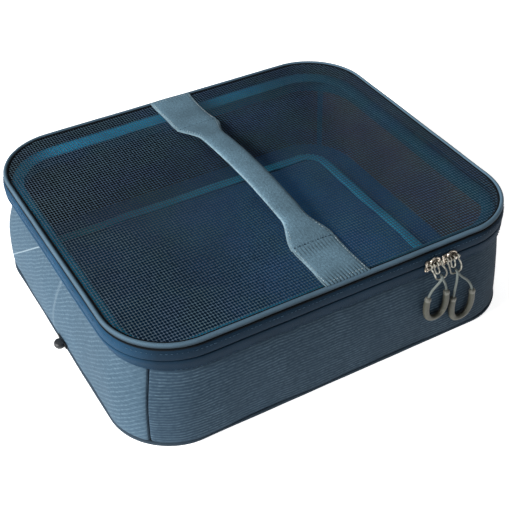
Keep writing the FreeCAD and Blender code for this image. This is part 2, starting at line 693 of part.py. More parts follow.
# ---------------------------------------------------------------- lash tab

def add_lash_tab():
    """A short strap sewn to the left wall just above the base, with a round-ended tab."""
    face = "(-sizes.base_width / 2 - sizes.layer_gap)"
    bottom = f"({SHELL_BOTTOM} + sizes.seam_gap)"
    low = (f"{face} - sizes.lash_strap_thickness", "sizes.lash_y - sizes.lash_strap_length / 2", bottom)
    high = (face, "sizes.lash_y + sizes.lash_strap_length / 2", f"{bottom} + sizes.lash_strap_height")
    keep(box("lash_strap_block", low, high), "lash_strap")
    body = new_body("lash_tab_body")
    sketch = sketch_on(body, "XY_Plane", "lash_tab_outline")
    rounded_rectangle(sketch, "edge", "sizes.lash_tab_reach", "sizes.lash_tab_width", "sizes.lash_tab_corner")
    radius = value("sizes.lash_hole_radius")
    sketch.addGeometry(Part.Circle(Vector(0, 0, 0), Vector(0, 0, 1), radius))
    hole = sketch.GeometryCount - 1
    sketch.addConstraint(Sketcher.Constraint("Coincident", hole, 3, -1, 1))
    bound(sketch, Sketcher.Constraint("Radius", hole, radius), "hole_radius", "sizes.lash_hole_radius")
    pad(body, sketch, "sizes.lash_tab_thickness")
    reach = "(sizes.lash_strap_thickness + sizes.layer_gap + sizes.lash_tab_reach / 2)"
    body.setExpression("Placement.Base.x", f"{face} - {reach}")
    body.setExpression("Placement.Base.y", "sizes.lash_y")
    body.setExpression("Placement.Base.z", f"{bottom} + sizes.seam_gap")
    keep(body, "lash_tab")


add_base()
add_floor_pad()
add_walls()
add_seam_flap()
add_zip()
add_lid()
add_handle_anchor("front", "-1")
add_handle_anchor("rear", "1")
add_handle_grip()
for slider_side in ("left", "right"):
    slider_x = f"sizes.{slider_side}_slider_x"
    add_slider(slider_side, slider_x)
    add_wire_pull(slider_side, slider_x)
    add_pull_cord(slider_side, slider_x)
add_lash_tab()
doc.recompute()

problems = [item.Name for item in doc.Objects if "Invalid" in item.State or "Error" in item.State]
problems += [piece.Label for piece in SUB_PARTS if piece.Shape.isNull() or not piece.Shape.isValid()]
if problems:
    raise RuntimeError("failed objects: " + ", ".join(problems))

os.makedirs("parts", exist_ok=True)
for piece in SUB_PARTS:
    solids = len(piece.Shape.Solids)
    extent = piece.Shape.BoundBox
    print(f"{piece.Label}: {solids} solid, {piece.Shape.Volume:.0f} mm3, "
          f"x {extent.XMin:.1f}..{extent.XMax:.1f}, y {extent.YMin:.1f}..{extent.YMax:.1f}, "
          f"z {extent.ZMin:.1f}..{extent.ZMax:.1f}")
    piece.Shape.exportStep(f"parts/{piece.Label}.step")
print(len(SUB_PARTS), "sub-parts written")
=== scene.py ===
import math

import bpy
from mathutils import Matrix, Vector, noise


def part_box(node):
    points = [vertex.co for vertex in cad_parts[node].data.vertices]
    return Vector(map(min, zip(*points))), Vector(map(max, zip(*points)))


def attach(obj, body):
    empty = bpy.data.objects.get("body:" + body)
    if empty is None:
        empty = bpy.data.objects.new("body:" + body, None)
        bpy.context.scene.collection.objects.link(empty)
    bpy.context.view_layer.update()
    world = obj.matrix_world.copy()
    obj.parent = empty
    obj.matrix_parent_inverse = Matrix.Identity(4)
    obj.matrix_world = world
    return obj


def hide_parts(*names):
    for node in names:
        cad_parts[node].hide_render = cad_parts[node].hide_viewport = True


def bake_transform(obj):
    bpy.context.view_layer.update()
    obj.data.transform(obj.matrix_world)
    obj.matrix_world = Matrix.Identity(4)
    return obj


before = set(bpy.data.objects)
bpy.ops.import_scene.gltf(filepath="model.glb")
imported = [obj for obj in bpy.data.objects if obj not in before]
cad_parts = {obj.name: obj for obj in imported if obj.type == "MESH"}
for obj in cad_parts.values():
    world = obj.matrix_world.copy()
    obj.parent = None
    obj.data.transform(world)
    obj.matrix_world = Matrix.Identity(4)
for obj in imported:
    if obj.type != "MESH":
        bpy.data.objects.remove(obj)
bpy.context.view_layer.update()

scene = bpy.context.scene
MM = 0.001

# ------ plan of the case, in millimetres
BASE_PLAN = (178.0, 151.5, 52.5)  # half width, half depth and corner radius
RIM_PLAN = (174.5, 148.0, 55.0)
WALL_BOTTOM, WALL_TOP = 3.3, 71.1
ZIP_LINE = 84.2
TUCK = 2.2  # how far the walls' top seam is drawn in under the zip
TUCK_STARTS, TUCK_RISES = 36, 35
TUCK_ENDS, TUCK_FALLS = 72, 12
CORNER_RIDGE = 1.5  # how far the walls stand out beside their corner seams
CORNER_DENSITY = 1.6  # steps round a corner for each step of a straight
SEAM_LINES = (1, 3, 5, 7)
ZIP_PARTS = [(part, 0.0, 1.0) for part in (5, 6, 7, 0, 1, 2, 3)]
ALL_ROUND = [(part, 0.0, 1.0) for part in range(8)]


def eased(share):
    """A smooth step from 0 to 1."""
    share = min(max(share, 0.0), 1.0)
    return share * share * (3 - 2 * share)


def place(part, share, height, inset):
    """A point on the plan outline at a height, and the way out from it.

    The outline's eight parts run anticlockwise from the front straight: even ones are
    straights, odd ones are corners, and share says how far along the part the point is."""
    lean = min(max(height / WALL_TOP, 0.0), 1.0)
    side = part // 2
    if part % 2:
        angle = math.radians(90 * (side - 1) + 90 * share)
        out = Vector((math.cos(angle), math.sin(angle), 0))
    else:
        out = Vector(((0, -1, 0), (1, 0, 0), (0, 1, 0), (-1, 0, 0))[side])
    seam_tuck = eased((height - TUCK_STARTS) / TUCK_RISES)
    seam_tuck *= 1 - eased((height - TUCK_ENDS) / TUCK_FALLS)
    inset += TUCK * (1 - out.x) * seam_tuck
    wide, deep, radius = (a + (b - a) * lean for a, b in zip(BASE_PLAN, RIM_PLAN))
    wide, deep, radius = wide - inset, deep - inset, max(radius - inset, 0.5)
    if part % 2:
        signs = ((1, -1), (1, 1), (-1, 1), (-1, -1))[side]
        middle = Vector((signs[0] * (wide - radius), signs[1] * (deep - radius), height))
        return (middle + out * radius) * MM, out
    reach = (deep if out.x else wide) - radius
    along_it = (2 * share - 1) * reach
    return (out * (wide if out.x else deep) + Vector((-out.y, out.x, 0)) * along_it
            + Vector((0, 0, height))) * MM, out


def part_length(part):
    """The length of one part of the rim's outline, in millimetres."""
    wide, deep, radius = RIM_PLAN
    if part % 2:
        return math.pi / 2 * radius
    return 2 * ((wide if part % 4 == 0 else deep) - radius)


def stations(parts, step):
    """Steps of about the given length, in millimetres, along parts of the outline."""
    steps = []
    for part, start, end in parts:
        density = CORNER_DENSITY if part % 2 else 1.0
        count = max(2, round(part_length(part) * (end - start) / step * density))
        steps += [(part, start + (end - start) * n / count) for n in range(count)]
    return steps + [(parts[-1][0], parts[-1][2])]


def smoothed(corners, rounds=2):
    """A closed profile with its corners cut off, as rolled cloth has."""
    for _ in range(rounds):
        corners = [tuple(p + (q - p) * share for p, q in zip(a, b))
                   for a, b in zip(corners, corners[1:] + corners[:1]) for share in (0.25, 0.75)]
    return corners


def turns(count):
    """Evenly spaced angles round a circle."""
    return [2 * math.pi * n / count for n in range(count)]


def ripple(point, size, amount, seed=0.0):
    """A smooth random height for a point in metres: size and amount are in millimetres."""
    spot = point / (size * MM) + Vector((seed, seed * 1.7, seed * 0.6))
    return noise.noise(spot) * amount * MM


# ------ meshes
def build(name, body, verts, faces, uvs=None, materials=(), slots=None, sharp=40, edge=None):
    """A mesh piece that rides on a body, with its weave coordinates in metres."""
    mesh = bpy.data.meshes.new(name)
    mesh.from_pydata([tuple(v) for v in verts], [], faces)
    for layer_name, spots in (("weave", uvs), ("selvedge", edge)):
        if spots:
            layer = mesh.uv_layers.new(name=layer_name)
            for loop, uv in zip(layer.data, spots):
                loop.uv = uv
    for item in materials:
        mesh.materials.append(item)
    if slots:
        for polygon, index in zip(mesh.polygons, slots):
            polygon.material_index = index
    mesh.polygons.foreach_set("use_smooth", [True] * len(mesh.polygons))
    mesh.set_sharp_from_angle(angle=math.radians(sharp))
    mesh.update()
    piece = bpy.data.objects.new(name, mesh)
    scene.collection.objects.link(piece)
    if body:
        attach(piece, body)
    return piece


def skin(rows, size):
    """The faces of a solid through rows of vertices, with both ends closed."""
    faces = []
    for i in range(rows - 1):
        for j in range(size):
            m = (j + 1) % size
            faces.append((i * size + j, i * size + m, (i + 1) * size + m, (i + 1) * size + j))
    return faces + [tuple(reversed(range(size))), tuple((rows - 1) * size + j for j in range(size))]


def merged(solids):
    """The vertices and faces of several solids, as one list of each."""
    verts, faces = [], []
    for solid_verts, solid_faces in solids:
        faces += [tuple(len(verts) + n for n in face) for face in solid_faces]
        verts += solid_verts
    return verts, faces


def sweep(name, body, steps, profile, materials, ring=False, slot_of=None, wave=None):
    """A closed profile of (inset, height) pairs in millimetres, carried round the plan outline."""
    rows, lengths, before = [], [], None
    for number, (part, share) in enumerate(steps):
        pairs = profile(number) if callable(profile) else profile
        row = []
        for inset, height in pairs:
            point, out = place(part, share, height, inset)
            if wave:
                point = point + out * wave(point, number)
            row.append(point)
        middle = sum(row, Vector()) / len(row)
        lengths.append(0.0 if before is None else lengths[-1] + (middle - before).length)
        before = middle
        rows.append(row)
    if ring:
        rows = rows[:-1]
    size = len(rows[0])
    verts = [point for row in rows for point in row]
    across = [0.0]
    closed_row = rows[0] + rows[0][:1]
    for a, b in zip(closed_row, closed_row[1:]):
        across.append(across[-1] + (a - b).length)
    faces, uvs, slots = [], [], []
    for i in range(len(rows) if ring else len(rows) - 1):
        k = (i + 1) % len(rows)
        for j in range(size):
            m = (j + 1) % size
            faces.append((i * size + j, k * size + j, k * size + m, i * size + m))
            u0, u1, v0, v1 = lengths[i], lengths[i + 1], across[j], across[j + 1]
            uvs += [(u0, v0), (u1, v0), (u1, v1), (u0, v1)]
            slots.append(slot_of(j) if slot_of else 0)
    if not ring:
        last = (len(rows) - 1) * size
        for end in (range(size), [last + j for j in reversed(range(size))]):
            faces.append(tuple(end))
            uvs += [(0.0, across[j % size]) for j in end]
            slots.append(0)
    return outward(build(name, body, verts, faces, uvs, materials, slots))


def outward(piece):
    """Turns a closed piece's faces to the outside."""
    mesh = piece.data
    volume = 0.0
    for polygon in mesh.polygons:
        a, b, c = (mesh.vertices[polygon.vertices[n]].co for n in range(3))
        share = polygon.area / max((b - a).cross(c - a).length, 1e-12) * 2
        volume += a.dot(b.cross(c)) * share
    if volume < 0:
        mesh.flip_normals()
    return piece


def round_profile(inset, height, radius, count=14, tall=None):
    """A circle, or an oval that is taller, as (inset, height) pairs."""
    return [(inset + radius * math.cos(t), height + (tall or radius) * math.sin(t))
            for t in turns(count)]


def slab(name, body, half_wide, half_deep, radius, step, height, materials, thickness=None):
    """A level cloth with the plan's rounded outline. height(x, y, edge) and thickness are in mm."""
    count_x, count_y = round(2 * half_wide / step), round(2 * half_deep / step)
    verts, uvs_of = [], []
    for j in range(count_y + 1):
        for i in range(count_x + 1):
            x = (2 * i / count_x - 1) * half_wide
            y = (2 * j / count_y - 1) * half_deep
            p, q = abs(x) - (half_wide - radius), abs(y) - (half_deep - radius)
            if p > 0 and q > 0:
                shrink = max(p, q) / math.hypot(p, q)
                x = math.copysign(half_wide - radius + p * shrink, x)
                y = math.copysign(half_deep - radius + q * shrink, y)
                edge = radius - math.hypot(p * shrink, q * shrink)
            else:
                edge = min(half_wide - abs(x), half_deep - abs(y))
            verts.append(Vector((x, y, height(x, y, edge))) * MM)
            uvs_of.append((x * MM, y * MM))
    row = count_x + 1
    faces = [(j * row + i, j * row + i + 1, (j + 1) * row + i + 1, (j + 1) * row + i)
             for j in range(count_y) for i in range(count_x)]
    if thickness:
        layer = len(verts)
        verts += [point - Vector((0, 0, thickness * MM)) for point in verts]
        uvs_of += uvs_of
        faces += [tuple(layer + n for n in reversed(face)) for face in faces]
        rim = (list(range(row)) + [j * row + count_x for j in range(1, count_y + 1)]
               + [count_y * row + i for i in range(count_x - 1, -1, -1)]
               + [j * row for j in range(count_y - 1, 0, -1)])
        for a, b in zip(rim, rim[1:] + rim[:1]):
            faces.append((a, layer + a, layer + b, b))
    uvs = [uvs_of[n] for face in faces for n in face]
    return build(name, body, verts, faces, uvs, materials)


PUFF_FRAMES = 20


def puff(piece, pinned, cap, pressure):
    """Blows a closed piece up as cloth between its pinned points, moving none of them far."""
    rest = [v.co.copy() for v in piece.data.vertices]
    piece.vertex_groups.new(name="pinned").add(pinned, 1.0, "REPLACE")
    cloth = piece.modifiers.new("Cloth", "CLOTH")
    settings = cloth.settings
    settings.quality = 4
    settings.mass = 0.2
    settings.tension_stiffness = settings.compression_stiffness = 20
    settings.vertex_group_mass = "pinned"
    settings.use_pressure = True
    settings.uniform_pressure_force = pressure
    settings.effector_weights.gravity = 0
    cloth.collision_settings.use_collision = False
    for number in range(1, PUFF_FRAMES + 1):
        scene.frame_set(number)
    shaped = piece.evaluated_get(bpy.context.evaluated_depsgraph_get())
    moved = [v.co.copy() for v in shaped.to_mesh().vertices]
    shaped.to_mesh_clear()
    piece.modifiers.remove(cloth)
    piece.vertex_groups.clear()
    for vertex, start, end in zip(piece.data.vertices, rest, moved):
        shift = end - start
        if shift.length > cap * MM:
            shift = shift.normalized() * cap * MM
        vertex.co = start + shift
    scene.frame_set(1)


def subdivide(piece):
    """Smooths a soft piece's surface."""
    modifier = piece.modifiers.new("Subdivision", "SUBSURF")
    modifier.levels = modifier.render_levels = 1


# how far along a short bar each of its rings is, and how wide it is there
CAPSULE_RINGS = ((0.0, 0.45), (0.12, 0.9), (0.5, 1.0), (0.88, 0.9), (1.0, 0.45))


def capsules(name, body, runs, radius, materials, sides=6):
    """Short round-ended bars from one point to another: stitches, teeth and small fittings."""
    bars = []
    for start, end, *scale in runs:
        axis = (end - start).normalized()
        across = axis.orthogonal().normalized()
        other = axis.cross(across)
        size = radius * (scale[0] if scale else 1.0)
        verts = [start + (end - start) * share
                 + (across * math.cos(turn) + other * math.sin(turn)) * size * wide
                 for share, wide in CAPSULE_RINGS for turn in turns(sides)]
        bars.append((verts, skin(len(CAPSULE_RINGS), sides)))
    verts, faces = merged(bars)
    uvs = [(verts[n].x + verts[n].z, verts[n].y) for face in faces for n in face]
    return build(name, body, verts, faces, uvs, materials, sharp=80)


def stitches(points, lift, length=2.4, pitch=3.6):
    """The runs of thread along a line of (point, normal) pairs."""
    runs, travelled, next_at = [], 0.0, 0.0
    for (a, up_a), (b, _) in zip(points, points[1:]):
        span = (b - a).length
        while next_at + length * MM <= travelled + span and span > 0:
            start = a + (b - a) * max(0.0, (next_at - travelled) / span)
            end = a + (b - a) * ((next_at + length * MM - travelled) / span)
            runs.append((start + up_a * lift * MM, end + up_a * lift * MM))
            next_at += pitch * MM
        travelled += span
        next_at = max(next_at, travelled - length * MM)
    return runs


def wire(name, body, splines, radius, material, cyclic=False, resolution=10, sides=4):
    """A round bar or cord along NURBS routes in metres; a fourth number scales its radius."""
    curve = bpy.data.curves.new(name, "CURVE")
    curve.dimensions = "3D"
    curve.bevel_depth = radius * MM
    curve.bevel_resolution = sides
    curve.use_fill_caps = True
    for route in splines:
        spline = curve.splines.new("NURBS")
        spline.points.add(len(route) - 1)
        for point, spot in zip(spline.points, route):
            point.co = (*spot[:3], 1.0)
            point.radius = spot[3] if len(spot) > 3 else 1.0
        spline.order_u = 3
        spline.use_cyclic_u = cyclic
        spline.use_endpoint_u = not cyclic
        spline.resolution_u = resolution
    curve.materials.append(material)
    piece = bpy.data.objects.new(name, curve)
    scene.collection.objects.link(piece)
    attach(piece, body)
    return piece


# ------ materials
class Finish:
    """A node material. Each method adds a node and gives back its output socket."""

    def __init__(self, name, roughness=0.85, **constants):
        self.material = bpy.data.materials.new(name)
        self.material.use_nodes = True
        self.tree = self.material.node_tree
        self.shader = self.tree.nodes["Principled BSDF"]
        self.shader.inputs["Roughness"].default_value = roughness
        self.shader.inputs["Specular IOR Level"].default_value = 0.15
        for socket, number in constants.items():
            self.shader.inputs[socket.replace("_", " ")].default_value = number

    def node(self, kind, inputs=None, output=0, **settings):
        made = self.tree.nodes.new("ShaderNode" + kind)
        for name, setting in settings.items():
            setattr(made, name, setting)
        for key, source in (inputs or {}).items():
            if isinstance(source, bpy.types.NodeSocket):
                self.tree.links.new(source, made.inputs[key])
            else:
                made.inputs[key].default_value = source
        return made.outputs[output]

    def maths(self, operation, *values):
        return self.node("Math", dict(enumerate(values)), operation=operation)

    def times(self, first, second):
        return self.maths("MULTIPLY", first, second)

    def plus(self, first, second):
        return self.maths("ADD", first, second)

    def off_middle(self, value):
        """How far a number is from the middle between two whole numbers."""
        return self.maths("ABSOLUTE", self.maths("SUBTRACT", self.maths("FRACT", value), 0.5))

    def ribs(self, value, sharpness):
        """Rounded ribs with narrow grooves, from a number that runs across them."""
        return self.maths("POWER", self.maths("ABSOLUTE", self.maths("SINE", value)), sharpness)

    def weave(self, per_u=1000.0, per_v=1000.0, layer="weave"):
        """The piece's own cloth coordinates, scaled, as a vector and its two parts."""
        spot = self.node("UVMap", uv_map=layer)
        scaled = self.node("Mapping", {"Vector": spot, "Scale": (per_u, per_v, 1.0)})
        parts = self.node("SeparateXYZ", {0: scaled}).node.outputs
        return scaled, parts[0], parts[1]

    def spot(self):
        """The piece's object coordinates, which are the case's own at rest."""
        return self.node("TexCoord", output=3)

    def position(self, axis):
        """How far along an axis of the case a point is, in metres."""
        return self.node("SeparateXYZ", {0: self.spot()}, "XYZ".index(axis))

    def painted_light(self, at_low, at_high, low=-170.0, high=170.0, axis="X"):
        """Painted light and shade: a factor that runs between two numbers along a case axis."""
        return self.span(self.position(axis), low * MM, high * MM, at_low, at_high)

    def noise(self, scale, detail=3.0, vector=None, roughness=0.55):
        inputs = {"Vector": vector or self.spot(), "Scale": scale, "Detail": detail,
                  "Roughness": roughness}
        return self.node("TexNoise", inputs)

    def span(self, value, low, high, out_low=0.0, out_high=1.0):
        """The value, carried from one range to another and held inside it."""
        inputs = {0: value, 1: low, 2: high, 3: out_low, 4: out_high}
        return self.node("MapRange", inputs, clamp=True)

    def mix(self, share, first, second, blend="MIX"):
        first, second = ((*c, 1.0) if isinstance(c, tuple) else c for c in (first, second))
        inputs = {0: share, 6: first, 7: second}
        return self.node("Mix", inputs, output=2, data_type="RGBA", blend_type=blend)

    def shade(self, colour, factor):
        """The colour, made lighter or darker by a factor round 1."""
        grey = self.node("CombineColor", {0: factor, 1: factor, 2: factor})
        return self.mix(1.0, colour, grey, "MULTIPLY")

    def done(self, colour, height=None, depth=0.3, strength=0.6, roughness=None):
        self.tree.links.new(colour, self.shader.inputs["Base Color"])
        if height is not None:
            inputs = {"Height": height, "Distance": depth * MM, "Strength": strength}
            self.tree.links.new(self.node("Bump", inputs), self.shader.inputs["Normal"])
        if roughness is not None:
            self.tree.links.new(roughness, self.shader.inputs["Roughness"])
        return self.material


def heathered(name, base, light, dark, pitch, slant=0.0, light_ramp=(1.0, 1.0), highlit_creases=()):
    """Two-tone rib fabric: rows of pale thread, broken and uneven, on a mottled ground.

    Slant is how far the rows climb for each step along the wall. A crease is a straight
    pressed line, raised as a bump and lightened as a painted highlight: the parts of y and z
    in its normal, its place, half its width and its strength, in millimetres. The light ramp
    is painted light and shade along the case's X axis."""
    cloth = Finish(name, 0.85)
    _, along, up = cloth.weave()
    waver = cloth.noise(1.0, 1.0, cloth.weave(75.0, 20.0)[0])
    up = cloth.maths("MULTIPLY_ADD", waver, 0.6 * pitch, up)
    fine = cloth.maths("SINE", cloth.times(up, 2 * math.pi / 2.2))
    up = cloth.maths("MULTIPLY_ADD", along, -slant, up)
    drift = cloth.noise(1.0, 2.0, cloth.weave(16.0, 9.0)[0])
    sway = cloth.noise(1.0, 2.0, cloth.weave(62.0, 34.0)[0])
    drift = cloth.maths("MULTIPLY_ADD", drift, 2.6, cloth.times(sway, 2.6))
    rows = cloth.maths("DIVIDE", cloth.plus(up, drift), pitch)
    across = cloth.off_middle(rows)
    row = cloth.maths("FLOOR", rows)
    dash_at = cloth.node("CombineXYZ", {0: cloth.times(along, 0.34), 1: cloth.times(row, 7.3)})
    dash = cloth.span(cloth.noise(1.0, 2.0, dash_at), 0.36, 0.6)
    pale = cloth.span(across, 0.08, 0.26, 1.0, 0.0)
    fibre = cloth.noise(1.0, 4.0, cloth.weave(420.0, 2400.0)[0], 0.7)
    slub = cloth.noise(1.0, 3.0, cloth.weave(170.0, 900.0)[0], 0.6)
    thread = cloth.times(pale, cloth.maths("MULTIPLY_ADD", dash, 0.75, 0.3))
    thread = cloth.times(thread, cloth.span(fibre, 0.3, 0.65, 0.55, 1.15))
    patch = cloth.noise(1.0, 3.0, cloth.weave(34.0, 10.0)[0])
    thread = cloth.times(thread, cloth.span(patch, 0.35, 0.65, 0.45, 1.15))
    thread = cloth.times(thread, cloth.span(fine, -1.0, 1.0, 0.68, 1.1))
    ground = cloth.mix(cloth.span(slub, 0.38, 0.62), dark, base)
    colour = cloth.mix(thread, ground, light)
    colour = cloth.shade(colour, cloth.span(cloth.noise(7.0, 3.0), 0.3, 0.7, 0.9, 1.1))
    # Painted light and shade: the tone ramps along the case's X axis.
    colour = cloth.shade(colour, cloth.painted_light(*light_ramp))
    height = cloth.plus(thread, cloth.times(fibre, 0.5))
    # Each crease is raised as a bump and painted pale (0.34, 0.43, 0.49) along its line as a
    # painted highlight.
    for part_y, part_z, at, half, strength in highlit_creases:
        off = cloth.plus(cloth.times(cloth.position("Y"), part_y),
                         cloth.times(cloth.position("Z"), part_z))
        off = cloth.maths("ABSOLUTE", cloth.maths("SUBTRACT", off, at * MM))
        line = cloth.span(off, 0.0, half * MM, strength, 0.0)
        line = cloth.times(line, cloth.span(slub, 0.3, 0.6, 0.5, 1.1))
        colour = cloth.mix(line, colour, (0.34, 0.43, 0.49))
        height = cloth.plus(height, line)
    return cloth.done(colour, height, 0.22, 0.6)


def woven(name, colour, contrast=0.25, pitch=(1.1, 0.9), roughness=0.8, depth=0.12, mottle=0.12,
          rib=0.0, fleck=0.0, light_ramps=()):
    """Plain cloth: crossed threads, a rib if wanted, and uneven dyeing.

    A light ramp is painted light and shade: how bright it is at one place and at another
    along an axis of the case."""
    cloth = Finish(name, roughness)
    _, along, up = cloth.weave(2 * math.pi / (pitch[0] * MM), 2 * math.pi / (pitch[1] * MM))
    threads = cloth.times(cloth.maths("SINE", along), cloth.maths("SINE", up))
    height = cloth.maths("MULTIPLY_ADD", threads, 0.5, 0.5)
    fuzz = cloth.noise(1.0, 4.0, cloth.weave(1400.0, 900.0)[0], 0.7)
    patch = cloth.noise(22.0, 4.0)
    tone = cloth.span(height, 0.0, 1.0, 1.0 - contrast, 1.0 + contrast * 0.5)
    tone = cloth.times(tone, cloth.span(fuzz, 0.3, 0.7, 0.88 - fleck, 1.12 + fleck))
    tone = cloth.times(tone, cloth.span(patch, 0.3, 0.7, 1.0 - mottle, 1.0 + mottle))
    # Each ramp multiplies the tone as painted light and shade.
    for light_ramp in light_ramps:
        tone = cloth.times(tone, cloth.painted_light(*light_ramp))
    if rib:
        _, _, line = cloth.weave(1.0, math.pi / (rib * MM))
        groove = cloth.ribs(line, 0.5)
        tone = cloth.times(tone, cloth.span(groove, 0.0, 1.0, 0.62, 1.04))
        height = cloth.plus(cloth.times(height, 0.35), groove)
    height = cloth.plus(height, cloth.times(fuzz, 0.5))
    return cloth.done(cloth.shade(colour, tone), height, depth, 0.7,
                      cloth.span(fuzz, 0.3, 0.7, roughness - 0.08, roughness + 0.08))


def webbing_cloth(name, colour, edge_colour):
    """Carry webbing: ribs along its length, crossing picks, and paler selvedges."""
    cloth = Finish(name, 0.78)
    _, along, across = cloth.weave(2 * math.pi / (1.5 * MM), math.pi / (2.9 * MM))
    rib = cloth.ribs(across, 0.45)
    pick = cloth.maths("MULTIPLY_ADD", cloth.maths("SINE", along), 0.5, 0.5)
    fuzz = cloth.noise(1.0, 4.0, cloth.weave(480.0, 800.0)[0], 0.8)
    patch = cloth.noise(34.0, 5.0)
    _, outer, near_end = cloth.weave(1.0, 1.0, "selvedge")
    # Painted shade: the grooves between the ribs are darkened, most near the end and the fold.
    groove = cloth.times(cloth.maths("SUBTRACT", 1.0, rib),
                         cloth.span(near_end, 0.0, 1.0, 0.1, 1.5))
    tone = cloth.maths("SUBTRACT", 1.02, cloth.times(groove, 0.95))
    tone = cloth.times(tone, cloth.span(pick, 0.0, 1.0, 0.93, 1.04))
    tone = cloth.times(tone, cloth.span(fuzz, 0.35, 0.65, 0.62, 1.3))
    tone = cloth.times(tone, cloth.span(patch, 0.3, 0.7, 0.76, 1.14))
    base = cloth.mix(cloth.span(outer, 0.86, 0.95), colour, edge_colour)
    raised = cloth.times(rib, cloth.span(near_end, 0.0, 1.0, 0.15, 1.0))
    height = cloth.plus(cloth.plus(raised, cloth.times(pick, 0.4)), cloth.times(fuzz, 0.4))
    return cloth.done(cloth.shade(base, tone), height, 0.3, 0.7)


def netting(name, colour, thread_colours, pitch=(2.4, 2.95), hole=0.39):
    """Knitted net: a grid of rounded holes between threads of two tints."""
    cloth = Finish(name, 0.8)
    _, x, y = cloth.weave(1.0 / (pitch[0] * MM), 1.0 / (pitch[1] * MM))
    across = cloth.off_middle(x)
    up = cloth.off_middle(y)
    away = cloth.plus(cloth.maths("POWER", across, 3.0), cloth.maths("POWER", up, 3.0))
    away = cloth.maths("POWER", away, 1 / 3)
    wobble = cloth.noise(1.0, 2.0, cloth.weave(500.0, 500.0)[0])
    away = cloth.plus(away, cloth.span(wobble, 0.3, 0.7, -0.05, 0.05))
    solid = cloth.span(away, hole - 0.03, hole + 0.03)
    thread = cloth.span(away, hole - 0.02, hole + 0.1)
    fibre = cloth.noise(1.0, 3.0, cloth.weave(2600.0, 2600.0)[0])
    patch = cloth.noise(13.0, 3.0)
    tint = cloth.noise(31.0, 2.0)
    pale = cloth.mix(cloth.span(tint, 0.35, 0.65), *thread_colours)
    # Painted light: the threads are greyed towards the left end and show more strongly on the left
    # than on the right.
    pale = cloth.mix(cloth.painted_light(0.55, 0.0, -170.0, 0.0), pale, (0.088, 0.118, 0.138))
    shade = cloth.times(thread, cloth.span(fibre, 0.35, 0.65, 0.6, 1.0))
    shade = cloth.times(shade, cloth.painted_light(1.08, 0.72))
    colour = cloth.mix(shade, colour, pale)
    colour = cloth.shade(colour, cloth.span(patch, 0.3, 0.7, 0.8, 1.2))
    cloth.done(colour, cloth.plus(thread, fibre), 0.3, 0.7)
    both = cloth.node("MixShader", {0: solid, 1: cloth.node("BsdfTransparent"),
                                    2: cloth.shader.outputs[0]})
    cloth.tree.links.new(both, cloth.tree.nodes["Material Output"].inputs[0])
    return cloth.material


def moulded(name, colour, roughness=0.5, grain=700.0, worn=None):
    """Rubber or plastic with a fine grain, and scuffs of another colour if wanted."""
    cloth = Finish(name, roughness, Specular_IOR_Level=0.4)
    grain_of = cloth.noise(grain, 3.0)
    patch = cloth.noise(95.0, 4.0)
    base = cloth.mix(cloth.span(patch, 0.52, 0.75, 0.0, 0.6), colour, worn or colour)
    tone = cloth.span(grain_of, 0.3, 0.7, 0.86, 1.12)
    rough = cloth.span(patch, 0.3, 0.7, roughness - 0.12, roughness + 0.12)
    return cloth.done(cloth.shade(base, tone), grain_of, 0.08, 0.5, rough)


def cast_metal(name, colour, tarnish, metallic=1.0, polish=(0.18, 0.4)):
    """Plated cast metal, in random patches of bright plating and brown tarnish."""
    cloth = Finish(name, 0.3, Metallic=metallic)
    patch = cloth.noise(170.0, 3.0)
    fine = cloth.noise(1500.0, 2.0)
    base = cloth.mix(cloth.span(patch, 0.44, 0.6), tarnish, colour)
    rough = cloth.span(fine, 0.3, 0.7, *polish)
    return cloth.done(base, fine, 0.03, 0.5, rough)


# The left wall's cloth is painted lit, paler for the key light from the left; the other walls'
# cloth is painted shade, darkening from left to right.
lit_left_shell = heathered("lit_left_shell", (0.056, 0.099, 0.141), (0.089, 0.145, 0.196),
                       (0.038, 0.073, 0.110), 4.1, 0.73,
                       highlit_creases=((0.618, 0.786, 79.0, 0.8, 0.7), (0.954, 0.300, 15.7, 2.6, 0.14)))
shaded_shell = heathered("shaded_shell", (0.024, 0.046, 0.072), (0.070, 0.114, 0.153),
                        (0.0155, 0.033, 0.054), 2.65, light_ramp=(1.24, 0.60))
shell_cloths = {"left": lit_left_shell, "front": shaded_shell, "right": shaded_shell, "back": shaded_shell}
# Painted light and shade: the lining is paler on the left and darker towards the right.
lining_cloth = woven("lining_cloth", (0.062, 0.049, 0.048), 0.3, (0.8, 0.8), mottle=0.3,
                     light_ramps=[(1.35, 0.4)])
floor_cloth = woven("floor_cloth", (0.007, 0.052, 0.136), 0.3, (0.9, 0.9), mottle=0.18)
pad_cloth = woven("pad_cloth", (0.008, 0.060, 0.152), 0.3, (1.0, 1.0), mottle=0.2, depth=0.2)
seam_tape_cloth = woven("seam_tape_cloth", (0.006, 0.036, 0.064), 0.3, (0.7, 0.7), mottle=0.15)
teal_cloth = woven("teal_cloth", (0.016, 0.210, 0.350), 0.3, (0.7, 0.7), mottle=0.12, rib=2.2)
# Painted light and shade: the facing is bright on the left and dark on the right, and painted shade
# darkens it towards the front.
facing_cloth = woven("facing_cloth", (0.006, 0.180, 0.325), 0.3, (0.8, 0.8), mottle=0.25,
                     light_ramps=[(2.1, 0.12), (0.2, 1.0, -145.0, -112.0, "Y")])
# Painted light: the zip tape is paler at the left end, where the key light falls.
tape_cloth = woven("tape_cloth", (0.0070, 0.034, 0.071), 0.35, (0.9, 0.7), mottle=0.14, fleck=0.1,
                   light_ramps=[(1.6, 0.54, -178.0, -152.0)])
